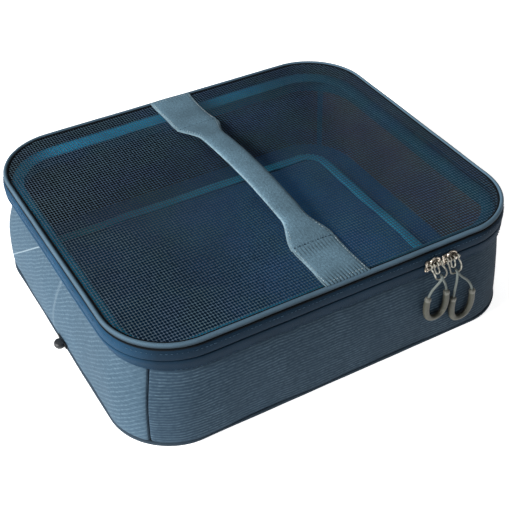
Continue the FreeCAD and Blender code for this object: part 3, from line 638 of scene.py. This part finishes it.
# Painted highlight: the piping is paler along its top and darker along its underside.
piping_cloth = woven("piping_cloth", (0.056, 0.098, 0.137), 0.3, (0.8, 0.7), mottle=0.12,
                     fleck=0.05, light_ramps=[(0.34, 1.4, 97.0, 99.4, "Z")])
dark_cloth = woven("dark_cloth", (0.010, 0.013, 0.017), 0.3, (0.8, 0.8))
# A near-black cloth for beads that stand in for shadow in recesses: painted shadow.
groove_cloth = woven("groove_cloth", (0.002, 0.004, 0.006), 0.3, (0.8, 0.8), roughness=0.95)
seam_cloth = woven("seam_cloth", (0.014, 0.030, 0.050), 0.3, (0.8, 0.8))
black_cloth = woven("black_cloth", (0.010, 0.011, 0.013), 0.35, (0.9, 0.7), rib=1.4)
base_cloth = woven("base_cloth", (0.022, 0.030, 0.042), 0.35, (1.2, 1.2), mottle=0.15, depth=0.2)
base_edge_cloth = woven("base_edge_cloth", (0.030, 0.050, 0.072), 0.35, (0.8, 0.8), mottle=0.15)
web_cloth = webbing_cloth("web_cloth", (0.098, 0.172, 0.228), (0.17, 0.262, 0.32))
net_cloth = netting("net_cloth", (0.004, 0.009, 0.015),
                    ((0.058, 0.128, 0.181), (0.054, 0.107, 0.206)))
thread_pale = woven("thread_pale", (0.42, 0.50, 0.54), 0.2, (0.4, 0.4), rib=0.5)
thread_blue = woven("thread_blue", (0.045, 0.09, 0.14), 0.2, (0.4, 0.4), rib=0.5)
coil_plastic = moulded("coil_plastic", (0.014, 0.022, 0.034), 0.4)
board_plastic = moulded("board_plastic", (0.05, 0.05, 0.055), 0.6)
grip_rubber = moulded("grip_rubber", (0.050, 0.052, 0.040), 0.55, 900.0, (0.150, 0.152, 0.124))
collar_rubber = moulded("collar_rubber", (0.105, 0.108, 0.094), 0.5, 900.0)
cord_cloth = woven("cord_cloth", (0.148, 0.172, 0.165), 0.5, (0.8, 0.8), depth=0.2)
nickel = cast_metal("nickel", (0.60, 0.54, 0.46), (0.055, 0.045, 0.036))
wire_steel = cast_metal("wire_steel", (0.42, 0.42, 0.37), (0.17, 0.17, 0.15), 0.55, (0.4, 0.6))
lash_plastic = moulded("lash_plastic", (0.022, 0.024, 0.027), 0.45, 800.0, (0.05, 0.05, 0.055))
floor_paint = Finish("floor_paint", 0.9, Emission_Color=(1, 1, 1, 1), Emission_Strength=0.8)
floor_paint = floor_paint.done(floor_paint.mix(floor_paint.noise(2.0), (0.93, 0.93, 0.93),
                                               (0.95, 0.95, 0.95)))

# ------ walls
WALLS = {
    "front": [(7, 0.5, 1.0), (0, 0.0, 1.0), (1, 0.0, 0.5)],
    "right": [(1, 0.5, 1.0), (2, 0.0, 1.0), (3, 0.0, 0.5)],
    "back": [(3, 0.5, 1.0), (4, 0.0, 1.0), (5, 0.0, 0.5)],
    "left": [(5, 0.5, 1.0), (6, 0.0, 1.0), (7, 0.0, 0.5)],
}
HEIGHTS = [3.3, 4.2, 6.5, 11, 17, 24, 31, 38, 45, 52, 58, 63.5, 67.5, 70.2, 71.1]
LINING_FACE = 6.0
MID_WALL = 40
EDGE_POINTS = (0, 1, 13, 14, 15, 16, 28, 29)  # those at the bottom and top of a wall's section


def crown_at(height):
    """How far up a wall's belly a height is: 0 at its bottom and top, 1 in its middle."""
    return math.sin(math.pi * min(max((height - WALL_BOTTOM) / (WALL_TOP - WALL_BOTTOM), 0), 1))


def wall_profile(steps):
    """The wall's closed section, pulled in along its seams with the next wall."""
    ends = [place(part, share, MID_WALL, 0)[0] for part, share in (steps[0], steps[-1])]

    def section(number):
        here, facing_out = place(*steps[number], MID_WALL, 0)
        away = min((here - end).length for end in ends) / MM
        pulled = math.exp(-((away / 2.2) ** 2))
        full = 1 - math.exp(-((away / 18) ** 2))
        ridge = CORNER_RIDGE * (1 - facing_out.x) * max(0.0, 1 - away / 40)
        outer, inner = [], []
        for height in HEIGHTS:
            from_edge = min(height - WALL_BOTTOM, WALL_TOP - height)
            rolled = 0.9 * math.exp(-((from_edge / 1.3) ** 2))
            crown = crown_at(height)
            bulge = 0.5 * crown * full + ridge * crown ** 0.5
            outer.append((rolled + pulled - bulge, height))
            inner.append((LINING_FACE - rolled * 0.6 - pulled * 0.3 + 0.3 * crown * full, height))
        return outer + inner[::-1]

    return section


for side, parts in WALLS.items():
    steps = stations(parts, 6.0)
    first, last = steps[0], steps[-1]
    steps = [first, (first[0], first[1] + 0.02)] + steps[1:-1] + [(last[0], last[1] - 0.02), last]
    outer_faces = len(HEIGHTS) - 1
    panel = sweep(
        side + "_wall", "case", steps, wall_profile(steps),
        (shell_cloths[side], lining_cloth),
        slot_of=lambda j: 0 if j < outer_faces or j == 2 * outer_faces + 1 else 1,
        wave=lambda point, _: ripple(point, 58, 1.5) + ripple(point, 21, 0.4, 4.0))
    size = 2 * len(HEIGHTS)
    held = [n for n in range(len(panel.data.vertices))
            if n // size in (0, 1, len(steps) - 2, len(steps) - 1) or n % size in EDGE_POINTS]
    puff(panel, held, 1.6, 2.0)
    subdivide(panel)
    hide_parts(*(f"{side}_wall_{layer}" for layer in ("shell", "foam", "lining")))

seam_runs = []
for part in SEAM_LINES:
    ridge = CORNER_RIDGE * (1 - place(part, 0.5, 0, 0)[1].x)
    line = [place(part, 0.5, height, 0.85 - ridge * crown_at(height) ** 0.5)[0]
            for height in range(4, 72)]
    seam_runs += [(a, b + (b - a) * 0.3, 1.0 + 0.25 * math.sin(n * 1.9))
                  for n, (a, b) in enumerate(zip(line, line[1:]))]
corner_seams = capsules("corner_seams", "case", seam_runs, 0.24 * MM, [seam_cloth])
for part in SEAM_LINES:
    inside = sweep(f"inner_seam_tape_{part}", "case", stations([(part, 0.465, 0.535)], 2.0),
                   [(6.9, 4.5), (6.9, 40.0), (6.9, 72.0), (4.0, 72.0), (4.0, 40.0), (4.0, 4.5)],
                   [seam_tape_cloth])

# ------ base and floor
base_piping = sweep("base_edge_piping", "case", stations(ALL_ROUND, 5),
                    round_profile(1.5, 1.5, 1.5), [base_edge_cloth], ring=True,
                    wave=lambda p, _: ripple(p, 30, 0.3))
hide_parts("base_piping")
bottom = slab("case_bottom", "case", 174.8, 148.3, 49.3, 6,
              lambda x, y, e: 1.05 - 0.3 * math.exp(-((e / 3) ** 2)), [base_cloth], 1.0)
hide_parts("bottom_panel")
floor = slab("floor_cloth_lining", "case", 174.0, 147.5, 48.6, 5,
             lambda x, y, e: 3.3 + ripple(Vector((x, y, 0)) * MM, 45, 0.5) / MM * min(1, e / 20),
             [floor_cloth])
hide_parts("floor_lining")

PAD_INSET = 30.0
PAD_BORDER = 9
pad_plan = [size - PAD_INSET for size in BASE_PLAN]
pad = slab("floor_pad_cushion", "case", *pad_plan, 6,
           lambda x, y, e: 5.5 + 0.5 * (1 - math.exp(-((e / 14) ** 2)))
           + ripple(Vector((x, y, 0)) * MM, 70, 0.8) / MM, [pad_cloth], 1.6)
half = len(pad.data.vertices) // 2
border = [n for n, v in enumerate(pad.data.vertices)
          if n >= half or min(pad_plan[0] * MM - abs(v.co.x),
                              pad_plan[1] * MM - abs(v.co.y)) < PAD_BORDER * MM]
puff(pad, border, 1.2, 1.0)
subdivide(pad)
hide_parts("floor_pad")

binding_section = smoothed([(28.7, 3.5), (28.5, 7.0), (30.5, 8.2), (38.2, 8.3), (39.6, 7.6),
                            (38.6, 6.4), (32, 4.2), (31, 3.5)], 1)
pad_edge = sweep("floor_pad_edge", "case", stations(ALL_ROUND, 5), binding_section, [teal_cloth],
                 ring=True, wave=lambda p, _: ripple(p, 40, 1.6) + ripple(p, 15, 0.5))
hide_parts("floor_pad_binding")

# ------ facing inside the top of the walls
flap_section = smoothed([(6.3, 71.6), (5.0, 84.0), (5.2, 88.6), (6.5, 89.4), (12.5, 88.8),
                         (17.0, 86.8), (17.2, 85.6), (12.2, 86.9), (7.2, 87.2), (6.4, 84.0),
                         (7.2, 71.6)], 1)
flap_steps = stations(ALL_ROUND, 5)
FLAP_FOLD = 8.0
LEFT_NARROWING, RIGHT_NARROWING = 0.28, 0.2


def flap_profile(number):
    """The flap stands out less from the two end walls than from the front and back."""
    out = place(*flap_steps[number], 80.0, 0.0)[1]
    narrow = LEFT_NARROWING * max(-out.x, 0.0) + RIGHT_NARROWING * max(out.x, 0.0)
    return [(inset - max(inset - FLAP_FOLD, 0.0) * narrow, height)
            for inset, height in flap_section]


facing = sweep("wall_facing", "case", flap_steps, flap_profile, [facing_cloth],
               ring=True, wave=lambda p, _: ripple(p, 38, 0.7))
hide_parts("wall_seam_binding")

# ------ zip
LOWER_TAPE = smoothed([(-0.5, 71.4), (-1.7, 71.9), (-2.0, 75), (-2.0, 80.5), (-1.6, 83.2),
                       (-0.9, 83.9), (0.3, 83.7), (0.2, 81), (-0.4, 77), (-0.3, 71.6)])
UPPER_TAPE = smoothed([(0.3, 84.8), (-0.9, 84.5), (-1.6, 85.2), (-2.0, 88), (-1.9, 91.2),
                       (-1.4, 93.0), (-0.3, 94.1), (0.8, 94.1), (0.2, 92.8), (-0.4, 89), (0.1, 86)])


def shaken(amount):
    """A waver for tape that stands along a wall."""
    return lambda point, _: ripple(Vector((point.x, point.y, 0)), 48, amount, 2.0)


tape_steps = stations(ZIP_PARTS, 4.5)
lower = sweep("zip_tape_lower", "case", tape_steps, LOWER_TAPE, [tape_cloth], wave=shaken(0.5))
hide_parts("zipper_tape_lower")
upper = sweep("zip_tape_upper", "lid", tape_steps, UPPER_TAPE, [tape_cloth], wave=shaken(0.5))
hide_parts("zipper_tape_upper")

hinge_section = smoothed([(-0.5, 71.4), (-1.7, 71.9), (-1.9, 75), (-1.9, 78), (-1.5, 81),
                          (-1.3, 84.2), (-1.5, 87), (-1.9, 89.5), (-1.9, 91.2), (-1.3, 93.8),
                          (-0.2, 94.9), (0.8, 94.9), (0.2, 93), (-0.6, 90), (-0.6, 84.2),
                          (-0.6, 77), (-0.3, 71.6)])
hinge = sweep("rear_hinge_band", None, stations([(4, 0.0, 1.0)], 5), hinge_section, [tape_cloth],
              wave=shaken(0.4))
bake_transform(hinge)
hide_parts("rear_hinge_lower", "rear_hinge_upper")

TOOTH_PITCH = 1.55
for level, body, sign, offset in (("lower", "case", -1, 0.0), ("upper", "lid", 1, 0.5)):
    runs = []
    for part, _, _ in ZIP_PARTS:
        count = round(part_length(part) / TOOTH_PITCH)
        for n in range(count):
            share = (n + offset) / count
            root = place(part, share, ZIP_LINE + sign * 2.5, 1.1)[0]
            head = place(part, share, ZIP_LINE + sign * 0.1, 1.4)[0]
            runs.append((root, head, 1.0))
            loop = place(part, share + 0.25 / count, ZIP_LINE + sign * 2.4, 2.3)[0]
            runs.append((loop, place(part, share, ZIP_LINE + sign * 0.3, 1.9)[0], 0.9))
    teeth = capsules(f"zip_teeth_{level}", body, runs, 0.42 * MM, [coil_plastic], sides=5)
    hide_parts(f"zipper_coil_{level}")

for end, shade_parts in (("left", [(5, 0.0, 1.0), (6, 0.0, 0.5)]),
                         ("right", [(2, 0.5, 1.0), (3, 0.0, 1.0)])):
    shade = sweep(f"zip_shade_{end}", "lid", stations(shade_parts, 5),
                  [(2.9, 84.7), (3.4, 84.7), (3.4, 91.5), (2.9, 91.5)], [dark_cloth])

for number, (height, body, depth) in enumerate(((73.4, "case", -2.05), (91.8, "lid", -1.95))):
    line = [place(part, share, height, depth) for part, share in stations(ZIP_PARTS, 3.0)]
    waver = shaken(0.5)
    line = [(point + out * waver(point, 0), out) for point, out in line]
    row = capsules(f"tape_stitches_{number}", body, stitches(line, 0.02), 0.2 * MM,
                   [thread_blue], 5)

# ------ lid
PIPING_HEIGHT, GROOVE_HEIGHT = 97.7, 94.4
lid_steps = stations(ALL_ROUND, 4.5)
piping = sweep("lid_edge_piping", "lid", lid_steps,
               round_profile(1.0, PIPING_HEIGHT, 1.8, 18, 2.25), [piping_cloth], ring=True,
               wave=lambda p, _: ripple(p, 40, 0.35) + ripple(p, 9, 0.08, 3.0))
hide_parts("lid_piping")
# A near-black bead under the piping stands in for the shadow in the groove there: painted shadow.
groove = sweep("lid_edge_groove", "lid", lid_steps, round_profile(0.5, GROOVE_HEIGHT, 1.0, 10),
               [groove_cloth], ring=True)
# A near-black bead between the piping and the net stands in for the shadow at the net's edge:
# painted shadow.
seam_line = sweep("lid_edge_seam", "lid", lid_steps,
                  smoothed([(2.3, 97.0), (2.2, 98.9), (3.0, 99.1), (3.7, 98.9), (4.1, 98.3),
                            (3.8, 97.4)], 1), [groove_cloth], ring=True)
edge_tape = sweep("lid_edge_tape", "lid", lid_steps,
                  smoothed([(3.3, 91.4), (3.1, 96.6), (3.5, 97.6), (4.7, 97.6), (4.9, 96.6),
                            (4.4, 91.5)], 1),
                  [dark_cloth], ring=True, wave=lambda p, _: ripple(p, 30, 0.3))
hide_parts("lid_seam_binding")


def net_height(x, y, edge):
    """The net is drawn tight, and dips a little between the rim and the handle."""
    hollow = (1 - (x / 171.4) ** 2) * (1 - (y / 145.0) ** 2)
    pulled = math.exp(-((x / 34) ** 2)) * min(1.0, (abs(y) / 100) ** 3)
    waves = ripple(Vector((x, y, 0)) * MM, 62, 1.0, 5.0) / MM
    free = min(1.0, edge / 25)
    return 98.35 - (1.6 * hollow * (1 - pulled) - waves * 0.8) * free


net = slab("lid_net", "lid", 171.2, 144.7, 51.7, 6, net_height, [net_cloth])
subdivide(net)
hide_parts("lid_mesh")

# ------ handle
ARCH = [(0, 110.3), (15, 110.1), (30, 109.4), (45, 108.3), (60, 106.9), (70, 105.7), (78, 104.4),
        (84, 103.2), (90, 101.9), (96, 100.8), (100, 100.2), (106, 99.8), (118, 99.6), (132, 99.6),
        (139, 99.7), (143, 100.0), (147, 100.6)]
GRIP_WIDTH, FLARE, FLARE_LENGTH = 22.0, 17.0, 30
GRIP_HALF = 50
LEVEL_FROM = 140
WEB_STEP = 1.6
HANDLE_ENDS = (("front", -1, 98.5, 147.0), ("rear", 1, 91.0, 146.0))  # side of y, fold, stop


def along(pairs, at):
    """A number read from (place, number) pairs, with straight runs between them."""
    for (a, low), (b, high) in zip(pairs, pairs[1:]):
        if at <= b:
            return low + (high - low) * (at - a) / (b - a)
    return pairs[-1][1]


def handle_section(y, fold, end):
    """Height, width and thickness of the handle's webbing at a distance from its middle."""
    if y < LEVEL_FROM:
        height = sum(along(ARCH, y + step) for step in (-4, -2, 0, 2, 4)) / 5
    else:
        height = along(ARCH, y)
    past = eased((y - (fold - FLARE_LENGTH)) / FLARE_LENGTH)
    width = GRIP_WIDTH + FLARE * past
    if y > fold:
        share = (y - fold) / (end - fold)
        width = 39.2 - 1.5 * math.sin(math.pi * share) ** 2
    thickness = 3.6 - 1.4 * past
    if y > end - 4:
        thickness *= 0.55 + 0.45 * (end - y) / 4
    crease = math.exp(-(((y - fold) / 1.4) ** 2))
    roll = math.exp(-(((y - fold - 2.6) / 1.6) ** 2))
    return height - 0.8 * crease + 0.5 * roll, width, thickness


def webbing(name, body, start, end, sign, fold, stop):
    """A length of the handle's webbing, from one distance to another on the front or the rear."""
    count = round((end - start) / WEB_STEP)
    shares = [n / 8 - 1 for n in range(17)]
    verts, cloth_uv, edge_uv = [], [], []
    for i in range(count + 1):
        y = start + (end - start) * i / count
        height, width, thickness = handle_section(y, fold, stop)
        slope = handle_section(y + 0.5, fold, stop)[0] - handle_section(y - 0.5, fold, stop)[0]
        narrow = 1 - (width - GRIP_WIDTH) / FLARE
        ring = []
        for side in (1, -1):
            for share in shares[::side]:
                rounding = (1 - abs(share) ** (6 - 2 * narrow)) ** 0.5
                lift = side * thickness / 2 * max(rounding, 0.02)
                cup = 0.55 * narrow * (1 - share * share) - 0.35 * abs(share) ** 3 * (1 - narrow)
                ring.append((share * width / 2, height + lift + cup, share))
        for x, z, share in ring:
            y_at = y - (z - height) * slope * 0.6
            point = Vector((x, sign * y_at, z)) * MM
            point.z += ripple(point, 20, 0.35, 7.0) + ripple(point, 7, 0.1, 2.0)
            verts.append(point)
            # How strongly the rib grooves get painted shade: most at the end and just past the
            # fold, little on the rear.
            near_end = max(math.exp(-(((y - stop) / 11) ** 2)),
                           0.6 * math.exp(-(((y - fold - 7) / 6) ** 2)))
            near_end *= 0.15 if sign > 0 else 1.0
            cloth_uv.append((y * MM, (x + 30) * MM))
            edge_uv.append((abs(share), min(1.0, near_end)))
    faces = skin(count + 1, len(ring))
    pick = [n for face in faces for n in face]
    piece = build(name, body, verts, faces, [cloth_uv[n] for n in pick], [web_cloth], sharp=60,
                  edge=[edge_uv[n] for n in pick])
    return outward(piece)


def web_line(sign, fold, stop, rows):
    """Points on top of the webbing for a line of stitches, from (distance, share across) pairs."""
    line = []
    for (y0, s0), (y1, s1) in zip(rows, rows[1:]):
        count = max(2, round((abs(y1 - y0) + abs(s1 - s0) * 20) / 1.5))
        for n in range(count):
            y, share = y0 + (y1 - y0) * n / count, s0 + (s1 - s0) * n / count
            height, width, thickness = handle_section(y, fold, stop)
            rounding = (1 - abs(share) ** 5) ** 0.5
            point = Vector((share * width / 2, sign * y, height + thickness / 2 * rounding)) * MM
            point.z += ripple(point, 20, 0.35, 7.0)
            line.append((point, Vector((0, 0, 1))))
    return line


for end, sign, fold, stop in HANDLE_ENDS:
    web = webbing(f"handle_{end}_web", None, GRIP_HALF, stop, sign, fold, stop)
    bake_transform(web)
    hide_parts(f"handle_{end}_anchor")
    sewn = []
    for rows in ([(stop - 3, -0.9), (fold + 1.5, -0.9)], [(fold + 1.5, 0.9), (stop - 3, 0.9)],
                 [(stop - 3, 0.9), (stop - 3, -0.9)]):
        sewn += stitches(web_line(sign, fold, stop, rows), 0.05, 1.7, 2.7)
    for side in (-1, 1):
        rows = [(fold - 3, 0.84 * side), (fold - 32, 0.8 * side)]
        sewn += stitches(web_line(sign, fold, stop, rows), 0.05, 1.8, 2.9)
    sewing = capsules(f"handle_{end}_stitches", None, sewn, 0.24 * MM, [thread_pale])
    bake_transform(sewing)
    # A dark bar along each fold stands in for the fold's shadow: painted shadow.
    crease = web_line(sign, fold, stop, [(fold, -0.93), (fold + 0.3, 0.93)])
    crease = stitches(crease, 0.1, 2.2, 2.3)
    fold_line = capsules(f"handle_{end}_fold", None, crease, (0.46 if sign > 0 else 0.75) * MM,
                         [seam_cloth])
    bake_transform(fold_line)
grip_pieces = [webbing(f"handle_grip_{end}", "handle", 0, GRIP_HALF, sign, fold, stop)
               for end, sign, fold, stop in HANDLE_ENDS]
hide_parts("handle_grip")

# ------ sliders, wires and pulls
ROD_Y, ROD_Z = -154.55, 86.0
WIRE_DROP = 17.0
EYE_RADIUS = 1.45
SLIDERS = {"left": (75.5, 8.0), "right": (91.5, 6.0)}
CORD_ROUTES = {
    "left": [(-11.0, 0.0, -16.5), (-9.6, -0.4, -9.6), (-5.2, -2.0, -3.0), (-0.6, -2.5, 2.6),
             (0.6, 2.5, 2.6), (3.6, 2.0, -4.2), (6.4, 0.5, -10.2), (7.0, 0.0, -16.5)],
    "right": [(1.5, 0.0, -27.5), (1.4, -0.3, -19.5), (0.6, -2.0, -7.0), (-0.6, -2.5, 2.6),
              (0.6, 2.5, 2.6), (5.5, 2.0, -6.0), (18.6, 0.4, -18.5), (20.5, 0.0, -27.5)],
}
GRIP_ROUTES = {
    "left": [(-11.0, -16.5), (-12.6, -27.5), (-8.0, -39.4), (4.4, -39.4), (8.6, -27.5),
             (7.0, -16.5)],
    "right": [(1.5, -27.5), (0.2, -39.0), (4.6, -51.6), (17.4, -51.6), (22.0, -39.0),
              (20.5, -27.5)],
}
# how far through a plate each of its outlines is, and how large it is there
PLATE_LAYERS = ((0.0, 0.93), (0.12, 0.985), (0.3, 1.0), (0.7, 1.0), (0.88, 0.985), (1.0, 0.93))


def plate(x, front, thick, outline):
    """Vertices and faces of a cast plate with rounded edges, parallel to the front wall."""
    verts = [Vector((x + px * scale, front + thick * share, ZIP_LINE + pz * scale)) * MM
             for share, scale in PLATE_LAYERS for px, pz in outline]
    return verts, skin(len(PLATE_LAYERS), len(outline))


def join(name, body, solids, material):
    """One piece from several closed solids."""
    verts, faces = merged(solids)
    uvs = [(verts[n].x, verts[n].z) for face in faces for n in face]
    piece = build(name, body, verts, faces, uvs, [material], sharp=50)
    return piece


PLATE_OUTLINE = smoothed([(-7.0, 4.8), (-7.2, 2.0), (-6.4, 0.7), (-6.4, -0.7), (-7.2, -2.0),
                          (-7.0, -4.8), (-2.0, -4.8), (4.0, -4.2), (6.6, -3.4), (7.1, 0.0),
                          (6.6, 3.4), (4.0, 4.2), (-2.0, 4.8)])
for side, (x, shift) in SLIDERS.items():
    body = side + "_slider"
    neck = [(-3, 0.35), (3, 0.35), (3, -0.35), (-3, -0.35)]
    solids = [plate(x, -151.5, 1.5, PLATE_OUTLINE), plate(x, -145.6, 1.5, PLATE_OUTLINE),
              plate(x, -150.2, 5.2, neck)]
    for sign in (-1, 1):
        rail = smoothed([(-6.9, sign * 4.9), (-1.5, sign * 4.9), (4, sign * 4.3), (4, sign * 3.5),
                         (-1.5, sign * 4.0), (-6.9, sign * 4.0)])
        solids.append(plate(x, -151.9, 1.4, rail if sign > 0 else rail[::-1]))
        lug = smoothed([(sign * 3.6 - 0.6, 2.9), (sign * 3.6 + 0.6, 2.9), (sign * 3.6 + 0.6, 0.2),
                        (sign * 3.6 - 0.6, 0.2)], 1)
        solids.append(plate(x, -155.5, 4.4, lug))
    casting = join(body + "_casting", body, solids, nickel)
    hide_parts(side + "_slider_body")
    rod = [Vector((x + end, ROD_Y, ROD_Z)) * MM for end in (-6.9, -3, 3, 6.9)]
    crown = [Vector((x + 4.2 * math.cos(turn), -152.9 - 0.5 * math.cos(turn) ** 2,
                     ROD_Z + 2.9 + 2.9 * math.sin(turn))) * MM for turn in turns(12)]
    bridge = wire(body + "_rod", body, [rod], 0.93, nickel)
    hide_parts(side + "_slider_bridge")
    ring = wire(body + "_crown", body, [crown], 0.72, nickel, cyclic=True)
    prongs = [(Vector((x + dx, -151.0, ZIP_LINE + dz)) * MM,
               Vector((x + dx, -153.4, ROD_Z + ez)) * MM)
              for dx, dz, ez in ((-6.0, 3.9, 1.4), (-6.0, -3.9, -4.6), (0.0, 4.2, 3.2),
                                 (5.6, 3.0, 0.8))]
    prong = capsules(body + "_prongs", body, prongs, 0.75 * MM, [nickel], 10)

    swing = side + "_wire"
    loop = [(-4.6, 0, -1.4), (-4.6 + 0.3 * shift, 0, -5.0), (-5.2 + 0.8 * shift, 0, -11.5),
            (-4.8 + shift, 0, -16.9), (4.8 + shift, 0, -17.0), (6.0 + 0.8 * shift, 0, -11.0),
            (6.0 + 0.3 * shift, 0, -5.0), (5.5, 0, -1.4)]
    inner = [(-1.7, -0.3, -1.0), (-1.9 + 0.3 * shift, -0.2, -6.6), (-1.4 + 0.45 * shift, 0, -9.8),
             (1.4 + 0.45 * shift, 0, -9.8), (1.9 + 0.3 * shift, -0.2, -6.6), (1.7, -0.3, -1.0)]
    pivot = Vector((x, ROD_Y, ROD_Z))
    bars = wire(swing + "_loop", swing, [[(pivot + Vector(p)) * MM for p in route]
                                         for route in (loop, inner)], 0.68, wire_steel)
    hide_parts(side + "_wire_pull")
    eyes = [[(pivot + Vector((eye_x, EYE_RADIUS * math.cos(t), EYE_RADIUS * math.sin(t)))) * MM
             for t in turns(8)] for eye_x in (-4.6, 5.5, -1.7, 1.7)]
    eye_rings = wire(swing + "_eyes", swing, eyes, 0.52, wire_steel, cyclic=True)

    limp = side + "_cord"
    bar = Vector((x + shift, ROD_Y, ROD_Z - WIRE_DROP))
    route = [(bar + Vector(p)) * MM for p in CORD_ROUTES[side]]
    cord = wire(side + "_zip_cord", limp, [route], 1.0, cord_cloth, resolution=24)
    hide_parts(side + "_pull_cord")
    arms = [(*((bar + Vector((px, 0, pz))) * MM), size)
            for (px, pz), size in zip(GRIP_ROUTES[side], (1.0, 1.12, 1.0, 1.0, 1.12, 1.0))]
    grip = wire(side + "_zip_grip", limp, [arms], 2.4, grip_rubber, resolution=16, sides=6)
    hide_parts(side + "_pull_grip")
    collars = []
    for tip, after in ((0, 1), (-1, -2)):
        a, b = Vector(arms[tip][:3]), Vector(arms[after][:3])
        down = (b - a).normalized() * MM
        collars.append([(*(a - down * 1.6), 0.62), (*(a - down * 1.0), 0.95),
                        (*(a + down * 0.4), 1.06), (*(a + down * 2.0), 1.0),
                        (*(a + down * 2.6), 0.9)])
    collar = wire(side + "_grip_collars", limp, collars, 2.55, collar_rubber, sides=6)

# ------ lash loop on the left wall
strap_path = [(-6.0 + 9.0 * s, 0.9 + 0.9 * math.cos(s * math.pi / 2) ** 2) for s in
              (n / 8 - 1 for n in range(17))]
STRAP_SECTION = ((0.0, 0.2), (0.0, 4.6), (-0.5, 4.8), (-1.1, 4.6), (-1.1, 0.2), (-0.5, 0.0))
verts = [Vector((-178.0 - out + 0.9 + dx, y, 3.4 + dz)) * MM
         for y, out in strap_path for dx, dz in STRAP_SECTION]
faces = skin(len(strap_path), len(STRAP_SECTION))
uvs = [(verts[n].y, verts[n].z) for face in faces for n in face]
strap = outward(build("lash_webbing", "case", verts, faces, uvs, [black_cloth]))
subdivide(strap)
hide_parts("lash_strap")
tab_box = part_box("lash_tab")
tab_middle = (tab_box[0] + tab_box[1]) / 2 + Vector((2.2, -1.4, 0)) * MM
KNOB_LAYERS = (0.0, 0.12, 0.35, 0.65, 0.88, 1.0)
verts = []
for share in KNOB_LAYERS:
    squeeze = 1 - 0.28 * abs(2 * share - 1) ** 3
    verts += [tab_middle + Vector((4.6 * squeeze * math.cos(t), 5.2 * squeeze * math.sin(t),
                                   (share - 0.5) * 5.0)) * MM for t in turns(20)]
faces = skin(len(KNOB_LAYERS), 20)
uvs = [(verts[n].x, verts[n].y) for face in faces for n in face]
knob = outward(build("lash_knob", "case", verts, faces, uvs, [lash_plastic]))
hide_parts("lash_tab")

# ------ CAD nodes that stay
for node, finish in (("bottom_board", board_plastic), ("zipper_end_stops", coil_plastic)):
    stays = bpy.data.objects[node]
    stays.data.materials.clear()
    stays.data.materials.append(finish)

# ------ stage, camera and light
stage_mesh = bpy.data.meshes.new("studio_floor")
STAGE_CORNERS = [(-6, -6, 0), (6, -6, 0), (6, 6, 0), (-6, 6, 0)]
stage_mesh.from_pydata(STAGE_CORNERS, [], [(0, 1, 2, 3)])
stage_mesh.materials.append(floor_paint)
stage = bpy.data.objects.new("studio_floor", stage_mesh)
scene.collection.objects.link(stage)

CAMERA_AT = Vector((-0.34701, -0.61393, 0.59879))
CAMERA_TO = Vector((0.38438, 0.66904, -0.63612)).normalized()
ROLL = -0.0055
right = CAMERA_TO.cross(Vector((0, 0, 1))).normalized()
up = right.cross(CAMERA_TO)
tilted_right = right * math.cos(ROLL) + up * math.sin(ROLL)
tilted_up = up * math.cos(ROLL) - right * math.sin(ROLL)
camera_data = bpy.data.cameras.new("camera")
camera_data.lens = 73.79
camera_data.sensor_width = 36.0
camera_data.clip_start = 0.01
camera = bpy.data.objects.new("camera", camera_data)
axes = Matrix((tilted_right, tilted_up, -CAMERA_TO)).transposed().to_4x4()
camera.matrix_world = Matrix.Translation(CAMERA_AT) @ axes
scene.collection.objects.link(camera)
scene.camera = camera


def lamp(name, kind, facing, power, **settings):
    """A lamp at the origin that shines along a direction."""
    data = bpy.data.lights.new(name, kind)
    data.energy = power
    for setting, number in settings.items():
        setattr(data, setting, number)
    made = bpy.data.objects.new(name, data)
    made.rotation_euler = Vector(facing).to_track_quat("-Z", "Y").to_euler()
    scene.collection.objects.link(made)
    return made


lamp("key", "SUN", (1.0, 0.0, -0.52), 5.8, angle=math.radians(24), color=(1.0, 0.99, 0.97))
lamp("top", "AREA", (-0.3, -0.3, -2.6), 16, size=2.2).location = (0.3, 0.3, 2.6)
world = bpy.data.worlds.new("studio")
world.use_nodes = True
world.node_tree.nodes["Background"].inputs[0].default_value = (1, 1, 1, 1)
world.node_tree.nodes["Background"].inputs[1].default_value = 0.085
scene.world = world
scene.view_settings.view_transform = "Standard"
